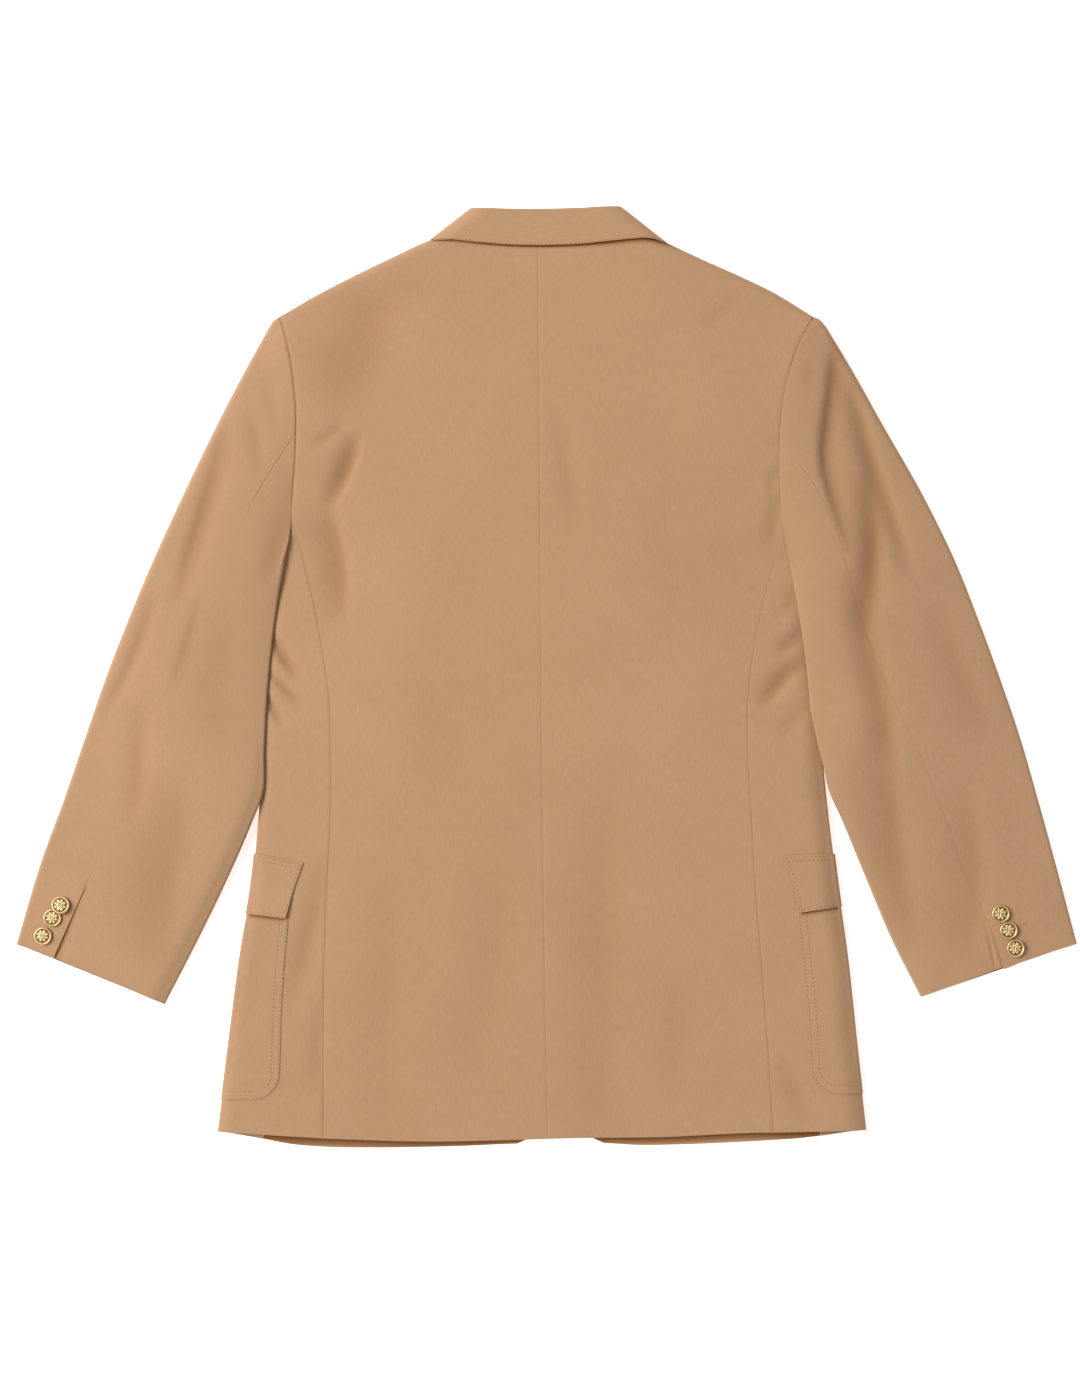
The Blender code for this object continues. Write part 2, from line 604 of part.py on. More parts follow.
def sleeve_piece(side, part):
    """The top sleeve wraps the outer edge, the under sleeve the inner one."""
    is_top = part == "top"
    arm = ARMHOLE[side]
    split = 4
    knots = arm[split:] if is_top else arm[:split + 1]
    count = len(knots) - 1
    edge_line = SLEEVE_OUTER[side] if is_top else SLEEVE_INNER[side]
    arm_line = [Vector(k[:2]) for k in knots]
    if not is_top:
        arm_line.reverse()
        knots = knots[::-1]
    cuff_seam = Vector(SLEEVE_SEAM[side][-1])
    cuff_edge = Vector(edge_line[-1])
    cuff = [cuff_seam.lerp(cuff_edge, k / count) for k in range(count + 1)]
    seam = [along(SLEEVE_SEAM[side], share) for share in SLEEVE_ROWS]
    edge = [along(edge_line, share) for share in SLEEVE_ROWS]
    inner_cuff, outer_cuff = Vector(SLEEVE_INNER[side][-1]), Vector(SLEEVE_OUTER[side][-1])
    under_split = [along([arm[split][:2], inner_cuff.lerp(outer_cuff, SLEEVE_SEAM_IN)], share)
                   for share in SLEEVE_ROWS]
    edge[0] = arm_line[-1]
    top_plan = coons(arm_line, cuff, seam, edge)
    under_cuff = [under_split[-1].lerp(cuff_edge, k / count) for k in range(count + 1)]
    under_plan = coons(arm_line, under_cuff, under_split, edge)
    rows = []
    for i, share in enumerate(SLEEVE_ROWS):
        inner, outer, _ = sleeve_lines(side, share)
        width = (outer - inner).length
        into = into_sleeve(edge_line, share, inner if is_top else outer)
        if not is_top:
            up_armhole = (arm_line[-2] - arm_line[-1]).normalized()
            into = up_armhole.lerp(into, smooth(share / 0.09)).normalized()
        fold_out = read_table(OUTER_FOLD, share, 1)
        lifted = sleeve_lift(side, inner.y)
        high = fold_out if is_top else SLEEVE_FOLD
        base = 0.0 if is_top else lifted
        if is_top and share < HEAD_DOWN:
            base = FRONT_FLOOR * (1 - smooth(share / HEAD_DOWN))
            high = (mix(knots[-1][2], 2 * fold_out, smooth(share / HEAD_BLEND)) - base) / 2
        wide = min(high, SLEEVE_ROUND)
        fold_middle = edge[i] + into * wide
        if share == 0 and is_top:
            fold_middle = arm_line[-1]
            into = fold_middle - Vector(SLEEVE_OUTER[side][0])
            wide = into.length
            into.normalize()
        row = []
        for j in range(count + 1):
            plan = top_plan[i][j] if j < count else fold_middle
            across = (plan - inner).length / width if i else j / count
            if i == 0:
                height = knots[j][2] if j < count else base + 2 * high
            else:
                height = sleeve_top_height(side, share, across, plan, knots[j][2])
            if j == count:
                height = base + 2 * high
            row.append(Vector((plan.x, plan.y, height)))
        for angle in ARC[1:-1]:
            turn = math.radians(angle)
            plan = fold_middle - into * wide * math.cos(turn)
            row.append(Vector((plan.x, plan.y, base + high + high * math.sin(turn))))
        for j in range(count, -1, -1):
            plan = under_plan[i][j] if j < count else fold_middle
            height = sleeve_under_height(side, share, plan, inner.y)
            if j == count:
                height = base
            row.append(Vector((plan.x, plan.y, height)))
        rows.append(row)
    return rows


# ---------------------------------------------------------------- collar and lapels

def collar_station(roll, edge, turn, side, stand, turns_round=False):
    """One section of the folded collar: stand, roll line and fall.

    turn is 0 on the back and 180 under the fronts. Where the collar turns round between them, it
    follows a half round whose outermost line is the fold, and above that its roll line stays level.
    """
    run = edge - roll
    down = run.normalized()
    outwards = Vector((-down.y, down.x)) * side
    radius = (COLLAR_TOP - COLLAR_BOTTOM) / 2
    angle = math.radians(turn)
    normal = Vector((outwards.x * math.sin(angle), outwards.y * math.sin(angle), math.cos(angle)))
    middle = COLLAR_BOTTOM + radius
    shift = Vector((0, 0, 0))
    if turns_round:
        inward = radius * (1 - math.sin(angle))
        level = inward * outwards.y / -down.y if turn < 90 else 0
        shift = (-outwards * inward - down * level).to_3d()

    def place(distance, below):
        plan = roll + down * distance
        face = Vector((plan.x, plan.y, middle + radius * math.cos(angle))) + shift
        return face - normal * below

    points = [place(stand, 2 * COLLAR_ROLL), place(COLLAR_ROLL + 0.3 * stand, 2 * COLLAR_ROLL)]
    for bend in (-90, -45, 0, 45, 90):
        b = math.radians(bend)
        points.append(place(COLLAR_ROLL * (1 - math.cos(b)), COLLAR_ROLL * (1 - math.sin(b))))
    for share in (0.4, 0.75, 1.0):
        points.append(place(mix(COLLAR_ROLL, run.length, share), 0.0))
    return points


def collar():
    rows = []
    for side in (-1, 1):
        half = []
        for roll_x, roll_y, edge_x, edge_y in COLLAR_BACK[side]:
            half.append((Vector((roll_x, roll_y)), Vector((edge_x, edge_y)), 0, STAND_BACK, False))
        roll_x, roll_y, edge_x, edge_y = COLLAR_FOLD[side]
        for turn in (0, 30, 60, 90, 120, 150, 180):
            half.append((Vector((roll_x, roll_y)), Vector((edge_x, edge_y)), turn,
                         mix(STAND_BACK, STAND_SIDE, turn / 180), True))
        for k, (roll_x, roll_y, edge_x, edge_y) in enumerate(COLLAR_FRONT):
            half.append((Vector((side * roll_x, roll_y)), Vector((side * edge_x, edge_y)), 180,
                         mix(STAND_SIDE, STAND_FRONT, k / 2), False))
        sections = [collar_station(roll, edge, turn, side, stand, round_it)
                    for roll, edge, turn, stand, round_it in half]
        if side < 0:
            rows = sections[::-1]
        else:
            rows += sections[1:]
    return rows


def lapel(side):
    rows = []
    for roll_x, roll_y, edge_x, edge_y in LAPEL[side]:
        row = []
        for share in (0, 0.35, 0.7, 1.0):
            x = mix(roll_x, edge_x, share) * (1 if side > 0 else -1)
            y = mix(roll_y, edge_y, share)
            row.append(Vector((x, y, front_height(x, y) - LAYER_GAP - WALL)))
        rows.append(row)
    return rows


# ---------------------------------------------------------------- buttons

# A domed button from its shank to its crown: share of the radius, share of the height
BUTTON_PROFILE = [(0.22, 0.0), (0.22, 0.42), (0.92, 0.46), (1.0, 0.56), (0.94, 0.68), (0.55, 0.92)]
BUTTON_SIDES = 14


def button(name, foot, size, raised=0.0, tilt=0.0, faces_down=False):
    """A button whose shank stands on its foot; raised makes the shank that much longer."""
    diameter, height = size
    bm = bmesh.new()
    rings = []
    for share, up in BUTTON_PROFILE:
        level = raised + up * height if up > 0 else 0
        ring = bmesh.ops.create_circle(bm, segments=BUTTON_SIDES, radius=share * diameter / 2 * MM)["verts"]
        bmesh.ops.translate(bm, verts=ring, vec=(0, 0, level * MM))
        rings.append(ring)
    for low, high in zip(rings, rings[1:]):
        edges = [e for e in bm.edges if all(v in low for v in e.verts) or all(v in high for v in e.verts)]
        bmesh.ops.bridge_loops(bm, edges=edges)
    crown = bmesh.ops.create_vert(bm, co=(0, 0, (raised + height) * MM))["vert"][0]
    for a, b in zip(rings[-1], rings[-1][1:] + rings[-1][:1]):
        bm.faces.new((a, b, crown))
    bm.faces.new(rings[0][::-1])
    bmesh.ops.recalc_face_normals(bm, faces=bm.faces)
    mesh = bpy.data.meshes.new(name)
    bm.to_mesh(mesh)
    bm.free()
    made = bpy.data.objects.new(name, mesh)
    bpy.context.collection.objects.link(made)
    made.location = (Vector(foot) - MIDDLE) * MM
    made.rotation_euler = (math.pi if faces_down else tilt, 0, 0)
    mesh.materials.append(material(name, GOLD, 0.3, 1.0))
    mesh.shade_smooth()
    return made


# ---------------------------------------------------------------- the blazer

for old in list(bpy.data.objects):
    bpy.data.objects.remove(old, do_unlink=True)

for side, hand in ((-1, "left"), (1, "right")):
    cloth("back_" + hand, back_panel(side), True)
    cloth("side_" + hand, side_panel(side), True, gap=SIDE_GAP)
    cloth("front_" + hand, front_panel(side), False)
    cloth("lapel_" + hand, lapel(side), False)
    cloth("sleeve_top_" + hand, sleeve_piece(side, "top"), True, gap=SLEEVE_GAP)
    cloth("sleeve_under_" + hand, sleeve_piece(side, "under"), True, gap=BENT_GAP)
    cloth("pocket_" + hand, pocket(side), True, wall=PATCH_WALL)
    cloth("flap_" + hand, flap(side), True, wall=PATCH_WALL)

cloth("collar", collar(), True, wall=COLLAR_WALL)

for side, hand in ((-1, "left"), (1, "right")):
    for number, (x, y, raised, tilt) in enumerate(CUFF_BUTTONS[side], 1):
        foot = (x, y, sleeve_height_at(side, Vector((x, y))) + LAYER_GAP)
        button("cuff_button_%s_%d" % (hand, number), foot, CUFF_BUTTON, raised, math.radians(tilt))

for which, y in FRONT_BUTTONS:
    button("front_button_" + which, (0, y, front_height(0, y) - LAYER_GAP), FRONT_BUTTON, faces_down=True)
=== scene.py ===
import math

import bmesh
import bpy
import numpy as np
from mathutils import Matrix, Vector


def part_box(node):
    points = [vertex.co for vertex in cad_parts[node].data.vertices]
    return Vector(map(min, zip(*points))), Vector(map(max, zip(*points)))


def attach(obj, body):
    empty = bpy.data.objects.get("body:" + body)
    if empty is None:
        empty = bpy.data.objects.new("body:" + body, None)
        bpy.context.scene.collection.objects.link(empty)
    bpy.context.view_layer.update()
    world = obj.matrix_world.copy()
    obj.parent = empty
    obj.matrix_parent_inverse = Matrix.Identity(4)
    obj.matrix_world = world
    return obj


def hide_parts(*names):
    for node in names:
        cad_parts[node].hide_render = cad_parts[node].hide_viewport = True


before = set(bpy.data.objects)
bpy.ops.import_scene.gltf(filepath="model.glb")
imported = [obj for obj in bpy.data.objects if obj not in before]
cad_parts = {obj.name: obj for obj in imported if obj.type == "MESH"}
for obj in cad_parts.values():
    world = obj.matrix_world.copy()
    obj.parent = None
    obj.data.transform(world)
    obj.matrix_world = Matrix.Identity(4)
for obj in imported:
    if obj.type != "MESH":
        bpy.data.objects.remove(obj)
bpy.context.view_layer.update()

# ---------------------------------------------------------------- backs
# Two back panels of tan wool gabardine, joined down the middle by a seam that is pressed open.
# They run from the hem to the shoulders and the neck, and lie highest between the shoulder blades.
# Sizes are in millimetres: x to the wearer's right, y towards the neck and z up from the table.

MM = 0.001
MIDDLE_Y = 0.36     # y of the middle of the blazer, which the frame has at 0
WALL = 1.5          # the cloth with its interlining
SEAM_GAP = 0.2
BACK_WIDE = 185
BACK_LONG = 740
SIDES = ((-1, "left"), (1, "right"))

SIDE_SEAM = {
    -1: [(-186, -383), (-186, -299), (-185, -234), (-183, -173), (-180, -119), (-180, -61),
         (-181, -19), (-186, 18), (-194, 61), (-203, 98), (-212, 131)],
    1: [(187, -378), (182, -301), (177, -235), (172, -172), (169, -119), (166, -66),
        (166, -19), (170, 17), (178, 58), (187, 91), (195, 124)],
}
ARMHOLE = {  # underarm to shoulder: x, y, height
    -1: [(-214, 114, 14.6), (-212, 131, 14.6), (-211, 152, 15.4), (-209, 177, 17), (-208, 201, 18.4),
         (-208, 223, 19.4), (-210, 243, 19.6), (-213, 264, 19), (-217, 282, 17.8), (-222, 298, 15)],
    1: [(198, 107, 14.6), (195, 124, 14.6), (193, 147, 15.4), (191.5, 177, 17), (192, 203, 18.4),
        (194, 225, 19.4), (197, 243, 19.6), (203, 263, 19), (210, 281, 17.8), (220, 298, 15)],
}
# The folded side edge of the body: y, its x on the left and its x on the right
SIDE_EDGE = [(-380, -274, 265), (-299, -264, 256), (-234, -255.5, 249), (-173, -245.5, 240.5),
             (-119, -240, 233.7), (-80, -237.5, 229.5), (-19, -235.5, 224), (18, -232.5, 219),
             (61, -227, 211.5), (98, -221.5, 204)]
BACK_HEM = [(-274, -377.5), (-235, -382), (-186, -384), (-91, -386), (-22, -384), (5, -383),
            (96, -382), (187, -378.5), (227, -379.5), (265, -376)]
SHOULDER = {
    -1: [(-222, 298), (-191, 316), (-165, 329.5), (-129, 347), (-94, 362.5)],
    1: [(220, 298), (187, 318.2), (158, 332.3), (125, 347), (97, 360)],
}
BACK_NECK = [(85, 365), (60, 368), (30, 367), (4, 366)]
CENTRE_SEAM = [(-390, 0.4), (-200, -3), (100, -6), (370, -8)]     # y, x
CENTRE_HEM = -383.3
CENTRE_TOP = (-8, 366)
CENTRE_HEIGHT = [(-390, 9.8), (-320, 11), (-200, 13.5), (-60, 15.2), (60, 16.2), (160, 18), (240, 20.5),
                 (320, 21), (380, 20)]
# Where the collar's leaf edge lies: x, y and how wide the painted shadow below it is
LEAF_EDGE = [(-97, 361.8, 0.5), (-78, 360.6, 0.9), (-56, 358.5, 1.2), (-30, 356.5, 1.3), (-2, 356, 1.3),
             (28, 357.2, 1.6), (56, 360.1, 2.4), (80, 362.4, 2.6), (90, 362.0, 3.0), (95, 360.8, 3.0),
             (100, 358.2, 2.4)]
FRONT_FLOOR = 3.4   # height of the front's outer face, which leaves room for the buttons under it
SIDE_FOLD = 2.7     # radius of the fold at the side edge, and how much it springs open
SIDE_SPRING = 0.6
BACK_DOME = 130     # how far in from the side edge the back reaches its full height
EDGE_ROLL = {-1: 1.6, 1: 4.4}     # how far the cloth swells beside the folded side edge
EDGE_ROLL_WIDE = {-1: 8, 1: 15}
ARMHOLE_DIP = {-1: 0.6, 1: 0.3}   # how far cloth rolls down into the armhole seam, and how dark the painted shade along it is
ARMHOLE_PAINTED_SHADE = {-1: 0.6, 1: 0.25}
SEAM_DIP = {-1: 0.3, 1: 0.16}     # the same for the side seam
SEAM_PAINTED_SHADE = {-1: 0.45, 1: 0.1}
# the roll into the centre seam, and the painted shade along it
CENTRE_DIP = 0.22
CENTRE_PAINTED_SHADE = 0.1
SHOULDER_IN = 76    # x at which the shoulder seam leaves the neck, and how wide the change is
SHOULDER_IN_WIDE = 12
SHOULDER_SEAM = 11
SHOULDER_DROP = 1   # how far the last of the cloth falls into the shoulder seam, from each side
SHOULDER_OVER = SHOULDER_SEAM + SEAM_GAP / 2
SHOULDER_UNDER = SHOULDER_SEAM - SEAM_GAP / 2 - SHOULDER_DROP
SHOULDER_ROUND = 9  # how far from the seam the cloth has levelled out
HEM_TURN_UP = 49    # depth of the hem allowance, which shows through as a faint step
HEM_STEP = 0.35
WAVE = 0.314        # metres between the bands of a wave texture at scale 1

# Folds in the back and side panels: points down each trough, its widths to the wearer's left and
# right, and its depth.
BODY_FOLDS = [
    ([(-155, 202), (-163, 175), (-171, 157), (-181, 138)], 11, 3.5, 4.2),
    ([(-183, 152), (-176, 120), (-170, 85), (-170, 40)], 17, 5, 3.0),
    ([(-136, 322), (-152, 282), (-165, 250), (-190, 222)], 36, 26, 2.1),
    ([(-85, 330), (-130, 314), (-165, 290)], 24, 16, 1.1),
    ([(-166, 214), (-178, 201), (-197, 189)], 5, 4, 1.5),
    ([(-231, 36), (-218, 14), (-205, -2)], 3.5, 5, 3.4),
    ([(-232, 4), (-217, -11), (-200, -26)], 3, 4, 2.6),
    ([(-235, -14), (-219, -42)], 3.5, 4, 2.8),
    ([(-185, -145), (-192, -195), (-203, -235), (-215, -278)], 9, 10, 1.8),
    ([(-188, -260), (-189, -300), (-190, -350)], 7, 4, 1.1),
    ([(-128, -140), (-133, -260), (-135, -400)], 24, 14, 0.8),
    ([(-38, -140), (-45, -240), (-64, -340)], 24, 16, 0.7),
    ([(-75, 110), (-85, -20), (-78, -150)], 30, 24, 0.3),
    ([(181, 190), (193, 197)], 4, 4, 1.0),
    ([(184, 152), (188, 166), (193, 175)], 4, 4, 1.2),
    ([(191, 156), (189, 130), (184, 105)], 7, 5, 1.6),
    ([(207, 78), (200, 58), (186, 48)], 7, 5, 1.0),
    ([(213, 40), (204, 29), (190, 20)], 7, 4, 2.5),
    ([(218, 10), (204, 4), (192, -8), (178, -25)], 9, 4, 3.2),
    ([(216, -20), (204, -38), (190, -50)], 8, 6, 1.3),
    ([(195, -312), (206, -344), (222, -378)], 9, 7, 1.4),
    ([(164, 315), (148, 303), (127, 284)], 5, 3, 1.0),
    ([(6, 235), (12, 205), (18, 165), (23, 110)], 9, 7, 0.8),
    ([(46, -70), (42, -230), (48, -400)], 26, 18, 1.2),
    ([(113, -240), (110, -300), (105, -360)], 15, 12, 0.7),
    ([(95, 260), (98, 150), (92, 30)], 24, 16, 0.4),
]


def to_linear(colour):
    """A colour given as sRGB hex, as the linear values that a shader takes."""
    parts = [int(colour[k:k + 2], 16) / 255 for k in (1, 3, 5)]
    return [c / 12.92 if c <= 0.04045 else ((c + 0.055) / 1.055) ** 2.4 for c in parts] + [1.0]


def add_node(tree, kind, settings=(), links=()):
    """Add a node: settings are (property or input, value), links are (input, the output it takes)."""
    node = tree.nodes.new(kind)
    for name, value in settings:
        if isinstance(name, int) or name in node.inputs:
            node.inputs[name].default_value = value
        else:
            setattr(node, name, value)
    for name, output in links:
        tree.links.new(output, node.inputs[name])
    return node


def new_material(name, settings):
    """A material whose shader has these inputs: the material, its node tree and the shader."""
    made = bpy.data.materials.new(name)
    made.use_nodes = True
    shader = made.node_tree.nodes["Principled BSDF"]
    for socket, value in settings:
        shader.inputs[socket].default_value = value
    return made, made.node_tree, shader


def gabardine(name, painted_shade):
    """Worsted wool gabardine: a fine steep twill, pressed flat, dull with a faint nap along the edges.

    A real twill line is about 0.7 mm wide, and is drawn at 1.5 mm so that it shows. The yarn's flecks are
    1 by 6 mm, and the cloth is clouded every 70 mm or so. The second argument is the colour of painted
    shade, which a point attribute multiplies in, in folds, along seams and under edges.
    """
    made, tree, shader = new_material(name, [("Roughness", 0.82), ("Specular IOR Level", 0.25),
                                             ("Sheen Weight", 0.12), ("Sheen Roughness", 0.45),
                                             ("Sheen Tint", to_linear("#F0D9BE"))])
    weave = add_node(tree, "ShaderNodeUVMap", [("uv_map", "cloth")])
    place = add_node(tree, "ShaderNodeTexCoord")
    bias = add_node(tree, "ShaderNodeMapping", [("Rotation", (0, 0, math.radians(28)))],
                    [("Vector", weave.outputs["UV"])])
    twill = add_node(tree, "ShaderNodeTexWave",
                     [("Scale", WAVE / 0.0015), ("Distortion", 1.2), ("Detail", 1.0),
                      ("Detail Scale", 2.0)],
                     [("Vector", bias.outputs["Vector"])])
    slub = add_node(tree, "ShaderNodeMapping", [("Scale", (900, 160, 1))],
                    [("Vector", weave.outputs["UV"])])
    yarn = add_node(tree, "ShaderNodeTexNoise", [("Scale", 1.0), ("Detail", 3.0)],
                    [("Vector", slub.outputs["Vector"])])
    cloud = add_node(tree, "ShaderNodeTexNoise", [("Scale", 14.0), ("Detail", 3.0), ("Roughness", 0.55)],
                     [("Vector", place.outputs["Object"])])
    shade = add_node(tree, "ShaderNodeMix",
                     [("data_type", "RGBA"), (6, to_linear("#B48D69")), (7, to_linear("#BF9571"))],
                     [(0, cloud.outputs["Fac"])])
    fleck = add_node(tree, "ShaderNodeMapRange",
                     [("From Min", 0.3), ("From Max", 0.7), ("To Min", 0.945), ("To Max", 1.045)],
                     [("Value", yarn.outputs["Fac"])])
    cloth = add_node(tree, "ShaderNodeMix", [("data_type", "RGBA"), ("blend_type", "MULTIPLY"), (0, 1.0)],
                     [(6, shade.outputs[2]), (7, fleck.outputs["Result"])])
    raised = add_node(tree, "ShaderNodeMath", [("operation", "MULTIPLY_ADD"), (1, 0.5)],
                      [(0, twill.outputs["Fac"]), (2, yarn.outputs["Fac"])])
    bump = add_node(tree, "ShaderNodeBump", [("Strength", 0.25), ("Distance", 0.0002)],
                    [("Height", raised.outputs["Value"])])
    # painted shade: a point attribute multiplies the cloth towards the second argument's colour
    painted_shade_attribute = add_node(tree, "ShaderNodeAttribute", [("attribute_name", "painted_shade")])
    wear_and_painted_shade = add_node(tree, "ShaderNodeMix",
                    [("data_type", "RGBA"), ("blend_type", "MULTIPLY"), ("clamp_factor", False),
                     (7, to_linear(painted_shade))],
                    [(0, painted_shade_attribute.outputs["Fac"]), (6, cloth.outputs[2])])
    tree.links.new(wear_and_painted_shade.outputs[2], shader.inputs["Base Color"])
    tree.links.new(bump.outputs["Normal"], shader.inputs["Normal"])
    return made


def smooth(share):
    """0 below 0, 1 above 1 and a smooth S between them."""
    share = np.clip(share, 0, 1)
    return share * share * (3 - 2 * share)


def mix(a, b, share):
    """a where share is 0, b where it is 1, and even between them."""
    return a + (b - a) * share


def bell(away, most=0.3, wide=0.9):
    """Most on a line and less away from it: a roll down into a seam, or painted shade along a line."""
    return most * np.exp(-(away / wide) ** 2)


def through(at, values, where):
    """A smooth line through values at rising places, read at other places."""
    at = np.asarray(at, float)
    values = np.asarray(values, float)
    single = values.ndim == 1
    values = values.reshape(len(at), -1)
    gaps = np.diff(at)[:, None]
    slopes = np.diff(values, axis=0) / gaps
    middle = (slopes[:-1] * gaps[1:] + slopes[1:] * gaps[:-1]) / (gaps[:-1] + gaps[1:])
    tangents = np.vstack((slopes[:1], middle, slopes[-1:]))
    where = np.clip(np.asarray(where, float), at[0], at[-1])
    k = np.clip(np.searchsorted(at, where, side="right") - 1, 0, len(at) - 2)
    gap = gaps[k]
    t = (where - at[k])[..., None] / gap
    found = (values[k] * (1 + 2 * t) * (1 - t) ** 2 + values[k + 1] * t ** 2 * (3 - 2 * t)
             + tangents[k] * gap * t * (1 - t) ** 2 - tangents[k + 1] * gap * t ** 2 * (1 - t))
    return found[..., 0] if single else found


def read(table, column, where):
    """A column of a table against its first column, as a smooth line."""
    rows = sorted(table)
    return through([row[0] for row in rows], [row[column] for row in rows], where)


def chords(points):
    """How far along a line of points each of them is."""
    return np.concatenate(([0], np.cumsum(np.linalg.norm(np.diff(points, axis=0), axis=1))))


def widths(plan):
    """How wide a piece is along each of its rows, as a column."""
    return np.linalg.norm(plan[:, -1] - plan[:, 0], axis=1)[:, None]


def curve(points, shares):
    """Places at shares of the length of a smooth curve through a few points x, y."""
    points = np.array([p[:2] for p in points], float)
    fine = through(chords(points), points, np.linspace(0, chords(points)[-1], 400))
    length = chords(fine)
    where = np.asarray(shares) * length[-1]
    return np.stack([np.interp(where, length, fine[:, k]) for k in (0, 1)], axis=1)


def steps(length, step, start=True, end=True):
    """Shares along a length, a step apart, and closer together towards a sewn or turned edge."""
    close = np.array([SEAM_GAP / 2, 0.6, 1.2, 2.0, 3.2, 5.0])
    low = close if start else np.array([0.0])
    high = length - close[::-1] if end else np.array([float(length)])
    count = max(int(round((high[0] - low[-1]) / step)), 2)
    return np.concatenate((low, np.linspace(low[-1], high[0], count + 1)[1:-1], high)) / length


def span(hem, top, first, last, u, v):
    """Fill four edges: hem and top at shares u, the two sides at shares v."""
    u = u[None, :, None]
    v = v[:, None, None]
    ends = first[:, None] * (1 - u) + last[:, None] * u + hem[None] * (1 - v) + top[None] * v
    corners = (mix(hem[0], hem[-1], u) * (1 - v) + mix(top[0], top[-1], u) * v)
    return ends - corners


def nearest(points, x, y):
    """How far each place is from a line of points, at which share of it, and if it is on the wearer's left
    of a line that runs down.
    """
    along = chords(points)
    best = np.full_like(x, 1e9)
    where = np.zeros_like(x)
    is_left = np.zeros_like(x)
    for (ax, ay), (bx, by), start, stop in zip(points, points[1:], along, along[1:]):
        run = stop - start
        share = np.clip(((x - ax) * (bx - ax) + (y - ay) * (by - ay)) / run ** 2, 0, 1)
        away = np.hypot(x - ax - share * (bx - ax), y - ay - share * (by - ay))
        across = (bx - ax) * (y - ay) - (by - ay) * (x - ax)
        closer = away < best
        best = np.where(closer, away, best)
        where = np.where(closer, (start + share * run) / along[-1], where)
        is_left = np.where(closer, across < 0, is_left)
    return best, where, is_left


def fold_depth(folds, x, y):
    """How deep the folds are at each place. Each fades out towards its ends, and one side is steeper."""
    depth = np.zeros_like(x)
    for line, wide_left, wide_right, deep in folds:
        away, where, is_left = nearest(curve(line, np.linspace(0, 1, 13)), x, y)
        fade = np.sin(math.pi * np.clip(where, 0, 1)) ** 0.8
        depth += bell(away, deep * fade, np.where(is_left > 0, wide_left, wide_right))
    return depth


def painted_fold_shade(folds, face):
    """Painted shade in the folds of a piece, by their depth: 1 where they are 5 mm deep."""
    return np.clip(fold_depth(folds, face[..., 0], face[..., 1]) / 5, 0, 1)


def ripple(x, y):
    """The slight unevenness that pressed cloth keeps."""
    return (0.10 * np.sin(x / 19 + 1.7 * np.sin(y / 83)) + 0.12 * np.sin(y / 31 + 1.3 * np.sin(x / 67))
            + 0.05 * np.sin(x / 7.3 + y / 11.9))


def rolled(inward, wide):
    """Cloth that rolls over an edge, from 0 at the edge to 1 where it has levelled out."""
    return 1 - (1 - np.clip(inward / wide, 0, 1)) ** 2


def side_edge(side, y):
    """x of the body's folded side edge."""
    return read(SIDE_EDGE, 1 if side < 0 else 2, y)


def edge_height(side, y):
    """Top of the body at its side edge, or along the armhole above that."""
    fold_top = FRONT_FLOOR + 2 * SIDE_FOLD + SIDE_SPRING
    armhole = ARMHOLE[side]
    low = [(-390, fold_top), (40, fold_top), (armhole[0][1] - 4, fold_top + SIDE_SPRING)]
    return read(low + [row[1:] for row in armhole[1:]], 1, y)


def side_line(side, y):
    """x of the body's side edge, and of the armhole above it."""
    low = [(y0, left if side < 0 else right) for y0, left, right in SIDE_EDGE]
    return read(low + [row[1::-1] for row in ARMHOLE[side][2:]], 1, y)


def shoulder_line(side, x):
    """y of the shoulder seam, and of the back's neck between the two."""
    rows = [(abs(px), py) for px, py in SHOULDER[side] + BACK_NECK]
    return read(rows, 1, np.abs(x))


def shoulder_turn(below):
    """The rounding of a shoulder, from 0 on its seam to 1 where it has levelled out."""
    return np.sqrt(np.maximum(1 - (1 - np.minimum(below / SHOULDER_ROUND, 1)) ** 2, 0))


def on_shoulder(x):
    """1 under the shoulder seams and 0 under the neck."""
    return smooth((np.abs(x) - SHOULDER_IN) / SHOULDER_IN_WIDE)


def back_height(side, x, y):
    """Outer face of the back and of the side panels' upper half."""
    inward = np.maximum(np.abs(side_line(side, y)) - np.abs(x) - SIDE_FOLD, 0)
    height = mix(edge_height(side, y), read(CENTRE_HEIGHT, 1, y), smooth(inward / BACK_DOME))
    below_arm = smooth((ARMHOLE[side][0][1] - 20 - y) / 60)
    swell = EDGE_ROLL[side] * below_arm * (1 - smooth(inward / BACK_DOME))
    height = height + swell * rolled(inward, EDGE_ROLL_WIDE[side])
    height = height - fold_depth(BODY_FOLDS, x, y) + ripple(x, y) * smooth(inward / 20)
    hem = read(BACK_HEM, 1, x)
    height = height + HEM_STEP * smooth((hem + HEM_TURN_UP - y) / 4 + 0.5)
    below = np.maximum(shoulder_line(side, x) - y, 0)
    rounded = mix(SHOULDER_OVER + SHOULDER_DROP, height, shoulder_turn(below))
    return np.where(below < SHOULDER_ROUND, mix(height, rounded, on_shoulder(x)), height)


def panel_plan(hem_table, top, outer, centre, u, v):
    """Places all over a body panel, between its hem, its top and its outer and centre edges."""
    hem_x = mix(outer[0, 0], centre[0, 0], u)
    hem = np.stack((hem_x, read(hem_table, 1, hem_x)), axis=1)
    return span(hem, top, outer, centre, u, v)


def add_piece(name, bm, material):
    """Turn a bmesh into an object made of one material."""
    mesh = bpy.data.meshes.new(name)
    bm.to_mesh(mesh)
    bm.free()
    mesh.materials.append(material)
    mesh.shade_smooth()
    piece = bpy.data.objects.new(name, mesh)
    bpy.context.scene.collection.objects.link(piece)
    return piece


